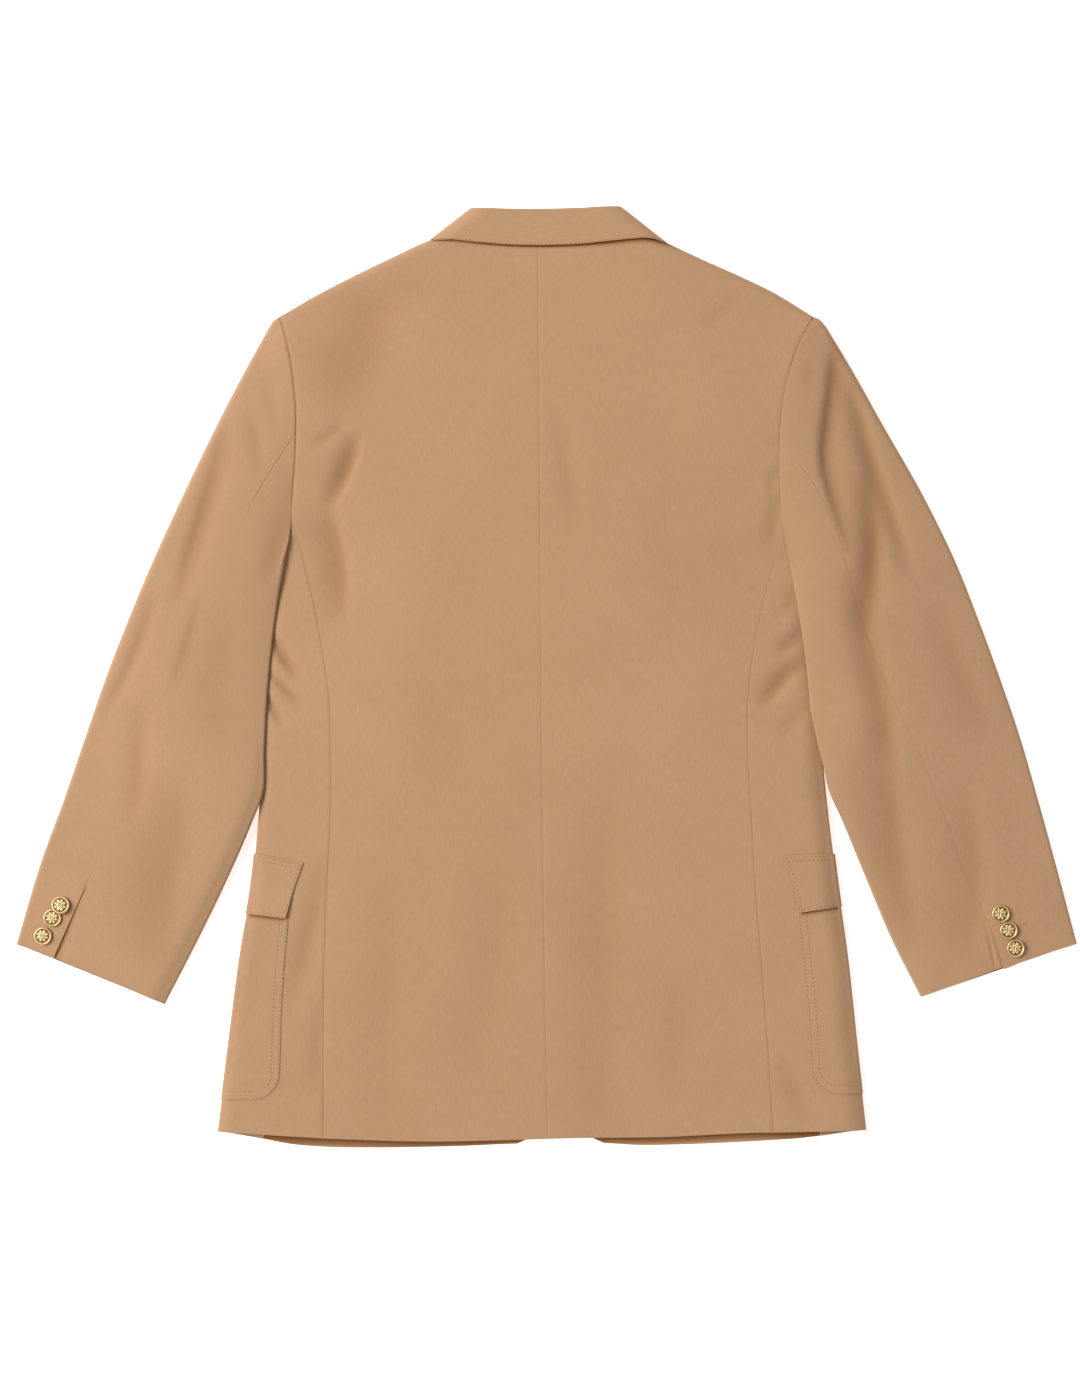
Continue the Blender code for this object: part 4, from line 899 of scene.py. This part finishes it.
def collar_sections(side, rolls, edges, turns, stands, turning):
    """Sections of the folded collar: stand, roll line and fall. turns is 0 on the back and 180 in front."""
    run = edges - rolls
    length = np.linalg.norm(run, axis=1)
    down = unit(run)
    outwards = np.stack((-down[:, 1], down[:, 0]), axis=1) * side
    angle = np.radians(turns)
    normal = np.column_stack((outwards * np.sin(angle)[:, None], np.cos(angle)))
    inward = COLLAR_TURN * (1 - np.sin(angle)) * turning
    level = np.where(turns < 90, inward * outwards[:, 1] / -down[:, 1], 0)
    shift = -outwards * inward[:, None] - down * level[:, None]
    bend = np.radians(np.linspace(-90, 90, 11))
    stand = np.linspace(1, 0, 6)[:-1]
    fall = steps(32, 2.4, start=False)[1:]
    away = np.concatenate((COLLAR_ROLL + stand[None] * (stands[:, None] - COLLAR_ROLL),
                           np.broadcast_to(COLLAR_ROLL * (1 - np.cos(bend)), (len(turns), len(bend))),
                           COLLAR_ROLL + fall[None] * (length[:, None] - COLLAR_ROLL)), axis=1)
    below = np.concatenate((np.full(len(stand), 2 * COLLAR_ROLL), COLLAR_ROLL * (1 - np.sin(bend)),
                            COLLAR_DROOP * smooth((fall - 0.45) / 0.55)))
    below = np.tile(below, (len(turns), 1))
    below[:, -len(fall):] *= (1 - smooth(turns / 60))[:, None]
    plan = rolls[:, None] + down[:, None] * away[..., None] + shift[:, None]
    middle = COLLAR_BOTTOM + COLLAR_TURN + COLLAR_TURN * np.cos(angle)
    height = np.broadcast_to(middle[:, None], away.shape)
    return np.dstack((plan, height)) - normal[:, None] * below[..., None]


def collar_half(side):
    """One half of the collar: sections from the middle of the back, round the neck, to its end in front."""
    turns = np.linspace(0, 180, 37)[1:]
    fold = np.array(COLLAR_BACK[side][-1], float)
    down = unit(fold[2:] - fold[:2])
    outwards = np.array((-down[1], down[0])) * side
    at_start = -outwards * COLLAR_TURN - down * COLLAR_TURN * outwards[1] / -down[1]
    at_end = -outwards * COLLAR_TURN
    roll_climb, leaf_climb = COLLAR_CLIMB[side]
    turned = np.tile(fold, (len(turns), 1))
    turned[:, 1] += roll_climb * np.sin(np.radians(turns))
    turned[:, 3] += leaf_climb * np.sin(np.radians(turns)) ** 3
    knots = np.array(COLLAR_BACK[side][:-1] + [fold + np.tile(at_start, 2)], float)
    front = [fold + np.tile(at_end, 2)] + [(side * a, b, side * c, d) for a, b, c, d in COLLAR_FRONT]
    back = rows_along(knots, (2, 3), steps(90, 2.6, start=False, end=False))
    shares = steps(80, 4, start=False)[1:]
    ends = rows_along(np.array(front, float), (2, 3), shares)
    rows = np.concatenate((back, turned, ends))
    turn = np.concatenate((np.zeros(len(back)), turns, np.full(len(ends), 180.0)))
    stands = mix(STAND_BACK, STAND_SIDE, turn / 180)
    stands[-len(ends):] = mix(STAND_SIDE, STAND_FRONT, shares)
    turning = np.concatenate((np.zeros(len(back)), np.ones(len(turns)), np.zeros(len(ends))))
    return collar_sections(side, rows[:, :2], rows[:, 2:], turn, stands, turning)


def sewing_thread():
    """Buttonhole silk in a brown that matches the cloth, twisted every 0.4 mm, with a slight gloss."""
    made, tree, shader = new_material("buttonhole_silk", [("Roughness", 0.5)])
    place = add_node(tree, "ShaderNodeTexCoord")
    twist = add_node(tree, "ShaderNodeTexWave", [("Scale", WAVE / 0.0004)],
                     [("Vector", place.outputs["Object"])])
    shade = add_node(tree, "ShaderNodeMix",
                     [("data_type", "RGBA"), (6, to_linear("#8A6240")), (7, to_linear("#A67B54"))],
                     [(0, twist.outputs["Fac"])])
    tree.links.new(shade.outputs[2], shader.inputs["Base Color"])
    return made


silk = sewing_thread()


def stitch(name, lines, kind=TOP_STITCH):
    """Rows of stitches just above the cloth: each line is the points x, y, z that a row runs through."""
    length, thick, pitch = kind
    scale = Matrix.Diagonal((length / 2 * MM, thick / 2 * MM, thick / 2 * MM, 1))
    bm = bmesh.new()
    for line in lines:
        line = line + (0, 0, STITCH_LIFT)
        along = chords(line)
        for start in np.arange(pitch / 2, along[-1], pitch):
            here, ahead = through(along, line, np.array([start, min(start + 0.5, along[-1])]))
            place = Vector(here - (0, MIDDLE_Y, 0)) * MM
            lie = Vector(ahead - here).to_track_quat("X", "Z").to_matrix().to_4x4()
            bmesh.ops.create_uvsphere(bm, u_segments=6, v_segments=4, radius=1,
                                      matrix=Matrix.Translation(place) @ lie @ scale)
    row = add_piece(name, bm, silk)
    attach(row, "root")


face = np.concatenate((collar_half(-1)[::-1], collar_half(1)[1:]))
piece = sew("collar_cloth", face, wool)
lay(piece, face, "collar")
# one row of pick stitches, along the part of the leaf edge that lies on the back
on_back = (np.abs(face[:, -3, 0]) < 90) & (face[:, -3, 2] > 20)
stitch("collar_stitching", [face[on_back, -3]], PICK_STITCH)


# ---------------------------------------------------------------- lapels
# Two lapels turned back from the fronts at the roll line, which lie face down under the chest.

# Up each lapel: x, y of the roll line and x, y of its edge, as if it were on the right
LAPEL = {
    -1: [(6, 44, 14, 40), (14, 78, 38, 66), (26, 126, 68, 108), (38, 174, 92, 154), (50, 222, 108, 204),
         (58, 258, 116, 243), (62, 288, 104, 278)],
    1: [(-16, -42, -12, -44), (-6, -6, 8, -16), (8, 48, 44, 30), (24, 112, 76, 92), (42, 184, 100, 160),
        (54, 236, 114, 218), (62, 288, 104, 278)],
}
LAYER_GAP = 0.5     # between the lapel and the front that it is turned back from
LAPEL_WALL = 1.4

for side, hand in SIDES:
    rows = rows_along(np.array(LAPEL[side], float), (0, 1), steps(250, 6))
    u = steps(60, 6, start=False)
    plan = mix(rows[:, None, :2], rows[:, None, 2:], u[None, :, None])
    if side < 0:
        plan = plan * (-1, 1)
    x, y = plan[..., 0], plan[..., 1]
    face = np.dstack((x, y, front_height(side, x, y) - LAYER_GAP - WALL))
    piece = sew("lapel_cloth_" + hand, face, wool, faces_up=False, wall=LAPEL_WALL)
    lay(piece, face, "lapel_" + hand)


# ---------------------------------------------------------------- pockets
# A patch pocket on each side, pressed round its edge, laid from the back round the side fold to the
# front and sewn down with two rows of stitching six millimetres apart.

PATCH_WALL = 0.6
PATCH_GAP = {-1: 0.05, 1: 0.1}     # how far the patch stands off the body
# y, and how far in from the side edge: the pocket's edge on the back, and the flap's
POCKET_EDGE = {-1: [(-173, 31), (-201, 35), (-279, 41), (-351, 48)],
               1: [(-173, 33), (-201, 36.5), (-288, 38.5), (-346, 42)]}
FLAP_EDGE = {-1: [(-154.5, 41), (-176, 36), (-200.5, 33)], 1: [(-148, 42), (-170, 37), (-195.5, 34)]}
FLAP_TOP_FRONT = -147              # y of the flap's top and bottom at the side edge and in front
FLAP_BOTTOM_FRONT = {-1: -197, 1: -191}
POCKET_REACH = 105                 # how far the pocket and the flap reach in from the side edge in front
FLAP_REACH = 107
POCKET_TOP = 40                    # how wide the part on the back is, and how wide the part in front is
POCKET_UNDER = 100
POCKET_CORNER = 22
POCKET_ROWS = (1.0, 7.0)


def corner_inset(above, radius):
    """How far a rounded bottom corner pulls an edge in, at a height above the bottom."""
    return radius - np.sqrt(np.maximum(radius ** 2 - np.maximum(radius - above, 0) ** 2, 0))


def on_face(face, x, y):
    """Points on a piece's upper face, each at a height weighed from the four grid points around it."""
    grid = face.reshape(-1, 3)
    height = []
    for px, py in zip(x, y):
        away = np.hypot(grid[:, 0] - px, grid[:, 1] - py)
        near = np.argsort(away)[:4]
        near = near[grid[near, 2] > grid[near, 2].max() - 1.5]
        weight = 1 / (away[near] + 0.05)
        height.append((grid[near, 2] * weight).sum() / weight.sum())
    return np.stack((x, y, height), axis=1)


for side, hand in SIDES:
    edge = POCKET_EDGE[side]
    top, bottom = edge[0][0], edge[-1][0]
    flap_y, flap_in = FLAP_EDGE[side][-1]
    under_flap = np.arange(top - flap_y - 12, top - FLAP_BOTTOM_FRONT[side] + 8, 0.9)
    down = np.union1d(steps(top - bottom, 3.2, start=False), under_flap / (top - bottom))
    level = mix(top, bottom, down)
    inset = corner_inset(level - bottom, POCKET_CORNER)
    back = in_from_edge(side, level, read(edge, 1, level) - inset)
    u = steps(POCKET_TOP, 3, end=False)
    under_u = steps(POCKET_UNDER, 6, start=False)
    out = PATCH_GAP[side] + PATCH_WALL
    face = wrap_side(side, back, level, level, POCKET_REACH - inset, out, u, under_u)
    # painted shadow on the pocket just below the flap's edge, on the back only
    inward = np.abs(side_edge(side, face[..., 1]) - face[..., 0])
    past_flap = mix(FLAP_BOTTOM_FRONT[side], flap_y, np.clip(inward / flap_in, 0, 1)) - face[..., 1]
    painted_shade = bell(past_flap, 1.7, 2.2) * smooth((flap_in + 1 - inward) / 2)
    painted_shade[:, len(u):] = 0
    piece = sew("patch_pocket_" + hand, face, wool, wall=PATCH_WALL, rim=0.4, painted_shade=painted_shade)
    lay(piece, face, "pocket_" + hand)
    rows = []
    for from_edge in POCKET_ROWS:
        y = mix(top - 4, bottom + from_edge, np.linspace(0, 1, 60))
        inset = corner_inset(y - bottom - from_edge, POCKET_CORNER - from_edge)
        x = side_edge(side, y) - side * (read(edge, 1, y) - inset - from_edge)
        to_side = abs(side_edge(side, bottom)) - abs(x[-1]) - 3
        x = np.concatenate((x, np.linspace(0, 1, 12)[1:] * to_side * side + x[-1]))
        y = np.concatenate((y, np.full(11, y[-1])))
        rows.append(on_face(face[:, :len(u) + 1], x, y))
    stitch("pocket_stitching_" + hand, rows)


# ---------------------------------------------------------------- pocket flaps
# A flap hangs over each pocket's mouth, stitched down in a double row along its top and pick stitched
# round its edge.

FLAP_LIFT = {-1: 2.2, 1: 1.7}   # how far the flap's lower corner curls up
FLAP_LONG = 48
FLAP_TOP = 38
FLAP_UNDER = 105
FLAP_ROWS = (1.8, 4.4)

for side, hand in SIDES:
    edge = FLAP_EDGE[side]
    down = steps(FLAP_LONG, 3)
    back_y = mix(edge[0][0], edge[-1][0], down)
    front_y = mix(FLAP_TOP_FRONT, FLAP_BOTTOM_FRONT[side], down)
    back = in_from_edge(side, back_y, read(edge, 1, back_y))
    out = 2 * (PATCH_GAP[side] + PATCH_WALL) + 0.1
    u = steps(FLAP_TOP, 3, end=False)
    under_u = steps(FLAP_UNDER, 6, start=False)
    face = wrap_side(side, back, front_y, front_y, np.full_like(down, FLAP_REACH), out, u, under_u)
    face[:, :len(u), 2] += FLAP_LIFT[side] * smooth((down[:, None] - 0.4) / 0.6) * (1 - u[None] ** 2)
    piece = sew("pocket_flap_" + hand, face, wool, wall=PATCH_WALL, rim=0.35)
    lay(piece, face, "flap_" + hand)
    rows = [face[np.searchsorted(down * FLAP_LONG, from_top), 1:len(u)] for from_top in FLAP_ROWS]
    rows.append(face[2:-3, np.searchsorted(u * FLAP_TOP, FLAP_ROWS[0])])
    rows.append(face[-1 - np.searchsorted(down * FLAP_LONG, FLAP_ROWS[0]), 3:len(u)])
    stitch("flap_stitching_" + hand, rows)


# ---------------------------------------------------------------- buttons
# Three buttons at each cuff and two on the front, pressed from brass sheet and gilded, with a beaded
# rim, an embossed rosette and a shank. The hollows are dark with tarnish and with painted shade, and the
# high places are polished.

RIM = 0.74            # share of the radius where the rim starts
PETALS = 8
BEADS = 36
CUFF_BUTTON = (14.8, 5.0)       # diameter and height
FRONT_BUTTON = (20.0, 4.5)
TUCKED_UP = (2.2, math.radians(-9))     # the left cuff's top button lies over the next: longer shank, tilt
TILTED_FROM = 3.4     # how far above its foot a tilted button keeps its place
# The worked buttonholes run out from under their buttons, away from the vent: x and y from the middle
BUTTONHOLE = np.array([(6.5, 3.5), (11, 5.0), (15, 4.5)])
BUTTONHOLE_STITCH = (1.0, 0.4, 0.8)
# The button's section: share of the radius, share of the height
BUTTON_CROWN = [(r, 0.90 - 0.06 * r * r) for r in np.arange(0, 0.70, 0.04)]
BUTTON_PROFILE = BUTTON_CROWN + [
    (0.71, 0.84), (0.74, 0.80), (0.77, 0.82), (0.80, 0.90), (0.84, 0.95), (0.88, 0.96), (0.92, 0.94),
    (0.96, 0.87), (0.99, 0.76), (1.0, 0.66), (0.99, 0.57), (0.94, 0.50), (0.8, 0.46), (0.5, 0.43),
    (0.24, 0.42), (0.2, 0.38), (0.2, 0.0), (0.0, 0.0)]


def gilt_brass():
    """Gilded brass: warm gold, polished on top, and dark brown in the hollows with tarnish and painted
    shade.
    """
    made, tree, shader = new_material("gilt_brass", [("Metallic", 1.0)])
    wear_and_painted_shade = add_node(tree, "ShaderNodeAttribute", [("attribute_name", "polish_and_painted_shade")])
    place = add_node(tree, "ShaderNodeTexCoord")
    smear = add_node(tree, "ShaderNodeTexNoise", [("Scale", 600.0), ("Detail", 3.0)],
                     [("Vector", place.outputs["Object"])])
    level = add_node(tree, "ShaderNodeMath", [("operation", "MULTIPLY_ADD"), (1, 0.35)],
                     [(0, smear.outputs["Fac"]), (2, wear_and_painted_shade.outputs["Fac"])])
    shade = add_node(tree, "ShaderNodeMapRange", [("From Min", 0.2), ("From Max", 0.8)],
                     [("Value", level.outputs["Value"])])
    gold = add_node(tree, "ShaderNodeMix",
                    [("data_type", "RGBA"), (6, to_linear("#8A5828")), (7, to_linear("#F8DCA6"))],
                    [(0, shade.outputs["Result"])])
    dull = add_node(tree, "ShaderNodeMapRange",
                    [("From Min", 0.2), ("From Max", 0.9), ("To Min", 0.58), ("To Max", 0.42)],
                    [("Value", level.outputs["Value"])])
    tree.links.new(gold.outputs[2], shader.inputs["Base Color"])
    tree.links.new(dull.outputs["Result"], shader.inputs["Roughness"])
    return made


brass = gilt_brass()


def foot_of(node, faces_down=False):
    """Where the shank of a button stands: the middle of the side of its box that is next to the cloth."""
    low, high = (Vector(corner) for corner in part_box(node))
    return Vector(((low.x + high.x) / 2, (low.y + high.y) / 2, high.z if faces_down else low.z))


def button(node, size, foot, raised=0.0, tilt=0.0, faces_down=False):
    """A button, spun from its section, with a rosette and beads raised on its crown.

    Its shank stands on its foot, and raised makes the shank that much longer.
    """
    diameter, height = size
    bm = bmesh.new()
    profile = []
    for share, up in BUTTON_PROFILE:
        z = up * height + (raised if up > 0.4 else 0)
        profile.append(bm.verts.new((share * diameter / 2 * MM, 0, z * MM)))
    edges = [bm.edges.new(pair) for pair in zip(profile, profile[1:])]
    bmesh.ops.spin(bm, geom=profile + edges, cent=(0, 0, 0), axis=(0, 0, 1), angle=math.tau, steps=72,
                   use_merge=True)
    bmesh.ops.remove_doubles(bm, verts=bm.verts, dist=1e-6)
    bmesh.ops.recalc_face_normals(bm, faces=bm.faces)
    # how polished each point is: high on the rosette and beads, low in the hollows, which also carry
    # painted shade
    polish_and_painted_shade = {}
    for vert in bm.verts:
        away = math.hypot(vert.co.x, vert.co.y) / (diameter / 2 * MM)
        turn = math.atan2(vert.co.y, vert.co.x)
        crown = vert.co.z > (0.7 * height + raised) * MM
        raise_by, shine = 0.0, 0.75
        if crown and away < RIM:
            petal = abs(math.cos(PETALS / 2 * turn)) * math.sin(math.pi * min(away / 0.5, 1)) ** 0.8
            leaf = abs(math.sin(PETALS / 2 * turn)) * math.sin(math.pi * min(max(away - 0.3, 0) / 0.42, 1))
            vein = 0.5 + 0.5 * math.cos(2 * PETALS * turn)
            shape = max(petal, leaf * (0.6 + 0.4 * vein), max(0.0, 1 - (away / 0.12) ** 2))
            raise_by = 0.6 * shape - 0.3
            shine = shape ** 1.25
        elif crown and away < 0.97:
            bead = 0.5 + 0.5 * math.cos(BEADS * turn)
            raise_by = 0.08 * bead * math.sin(math.pi * (away - RIM) / 0.23)
            shine = (0.7 + 0.3 * bead) * smooth((away - RIM) / 0.06)
        vert.co.z += raise_by * MM * diameter / 15
        polish_and_painted_shade[vert.index] = float(shine)
    bm.verts.index_update()
    turned = Matrix.Rotation(math.pi if faces_down else tilt, 4, "X")
    bmesh.ops.transform(bm, matrix=Matrix.Translation(foot) @ turned, verts=bm.verts)
    piece = add_piece("gilt_" + node, bm, brass)
    values = piece.data.attributes.new("polish_and_painted_shade", "FLOAT", "POINT")
    for index, shine in polish_and_painted_shade.items():
        values.data[index].value = shine
    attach(piece, "root")
    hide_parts(node)


for hand in ("left", "right"):
    for number in (1, 2, 3):
        node = "cuff_button_%s_%d" % (hand, number)
        raised, tilt = TUCKED_UP if node == "cuff_button_left_1" else (0.0, 0.0)
        foot = foot_of(node)
        foot.y += math.sin(tilt) * (raised + TILTED_FROM) * MM
        button(node, CUFF_BUTTON, foot, raised, tilt)
        if hand == "right" and number > 1:
            x, y = (BUTTONHOLE + (foot.x / MM, foot.y / MM + MIDDLE_Y)).T
            stitch("buttonhole_right_%d" % number, [on_face(sleeve_tops[hand], x, y)], BUTTONHOLE_STITCH)
for which in ("top", "bottom"):
    node = "front_button_" + which
    button(node, FRONT_BUTTON, foot_of(node, faces_down=True), faces_down=True)


# ---------------------------------------------------------------- studio
# A white light table seen from straight above, lit softly from the upper left, with a weaker light all
# round. Its glow keeps the shadows on it faint.

white = new_material("white_laminate", [("Base Color", to_linear("#FCFCFC")), ("Roughness", 0.8),
                                        ("Specular IOR Level", 0.2), ("Emission Color", (1, 1, 1, 1)),
                                        ("Emission Strength", 0.6)])[0]
bm = bmesh.new()
bmesh.ops.create_grid(bm, x_segments=1, y_segments=1, size=12)
bmesh.ops.translate(bm, verts=bm.verts, vec=(0, 0, -0.0002))
table = add_piece("table", bm, white)

world = bpy.data.worlds.new("studio")
world.use_nodes = True
world.node_tree.nodes["Background"].inputs["Color"].default_value = (1, 1, 1, 1)
world.node_tree.nodes["Background"].inputs["Strength"].default_value = 0.376
bpy.context.scene.world = world

lamp = bpy.data.lights.new("key", "AREA")
lamp.shape = "DISK"
lamp.size = 3.6
lamp.energy = 393
key = bpy.data.objects.new("key", lamp)
key.location = (-4.0, 1.2, 4.9)
key.rotation_euler = (-key.location).to_track_quat("-Z", "Y").to_euler()
bpy.context.scene.collection.objects.link(key)

# The view is this high, in metres, at a plane that lies a little above the table
FRAME_HEIGHT = 1.1437
FRAME_LEVEL = 0.006
CAMERA_DISTANCE = 3.0
lens = bpy.data.cameras.new("camera")
lens.sensor_width = 36
lens.lens = 36 * CAMERA_DISTANCE / FRAME_HEIGHT
camera = bpy.data.objects.new("camera", lens)
camera.location = (-0.0062, -0.0107, CAMERA_DISTANCE + FRAME_LEVEL)
bpy.context.scene.collection.objects.link(camera)
bpy.context.scene.camera = camera
bpy.context.scene.view_settings.view_transform = "Standard"
bpy.context.scene.view_settings.look = "None"
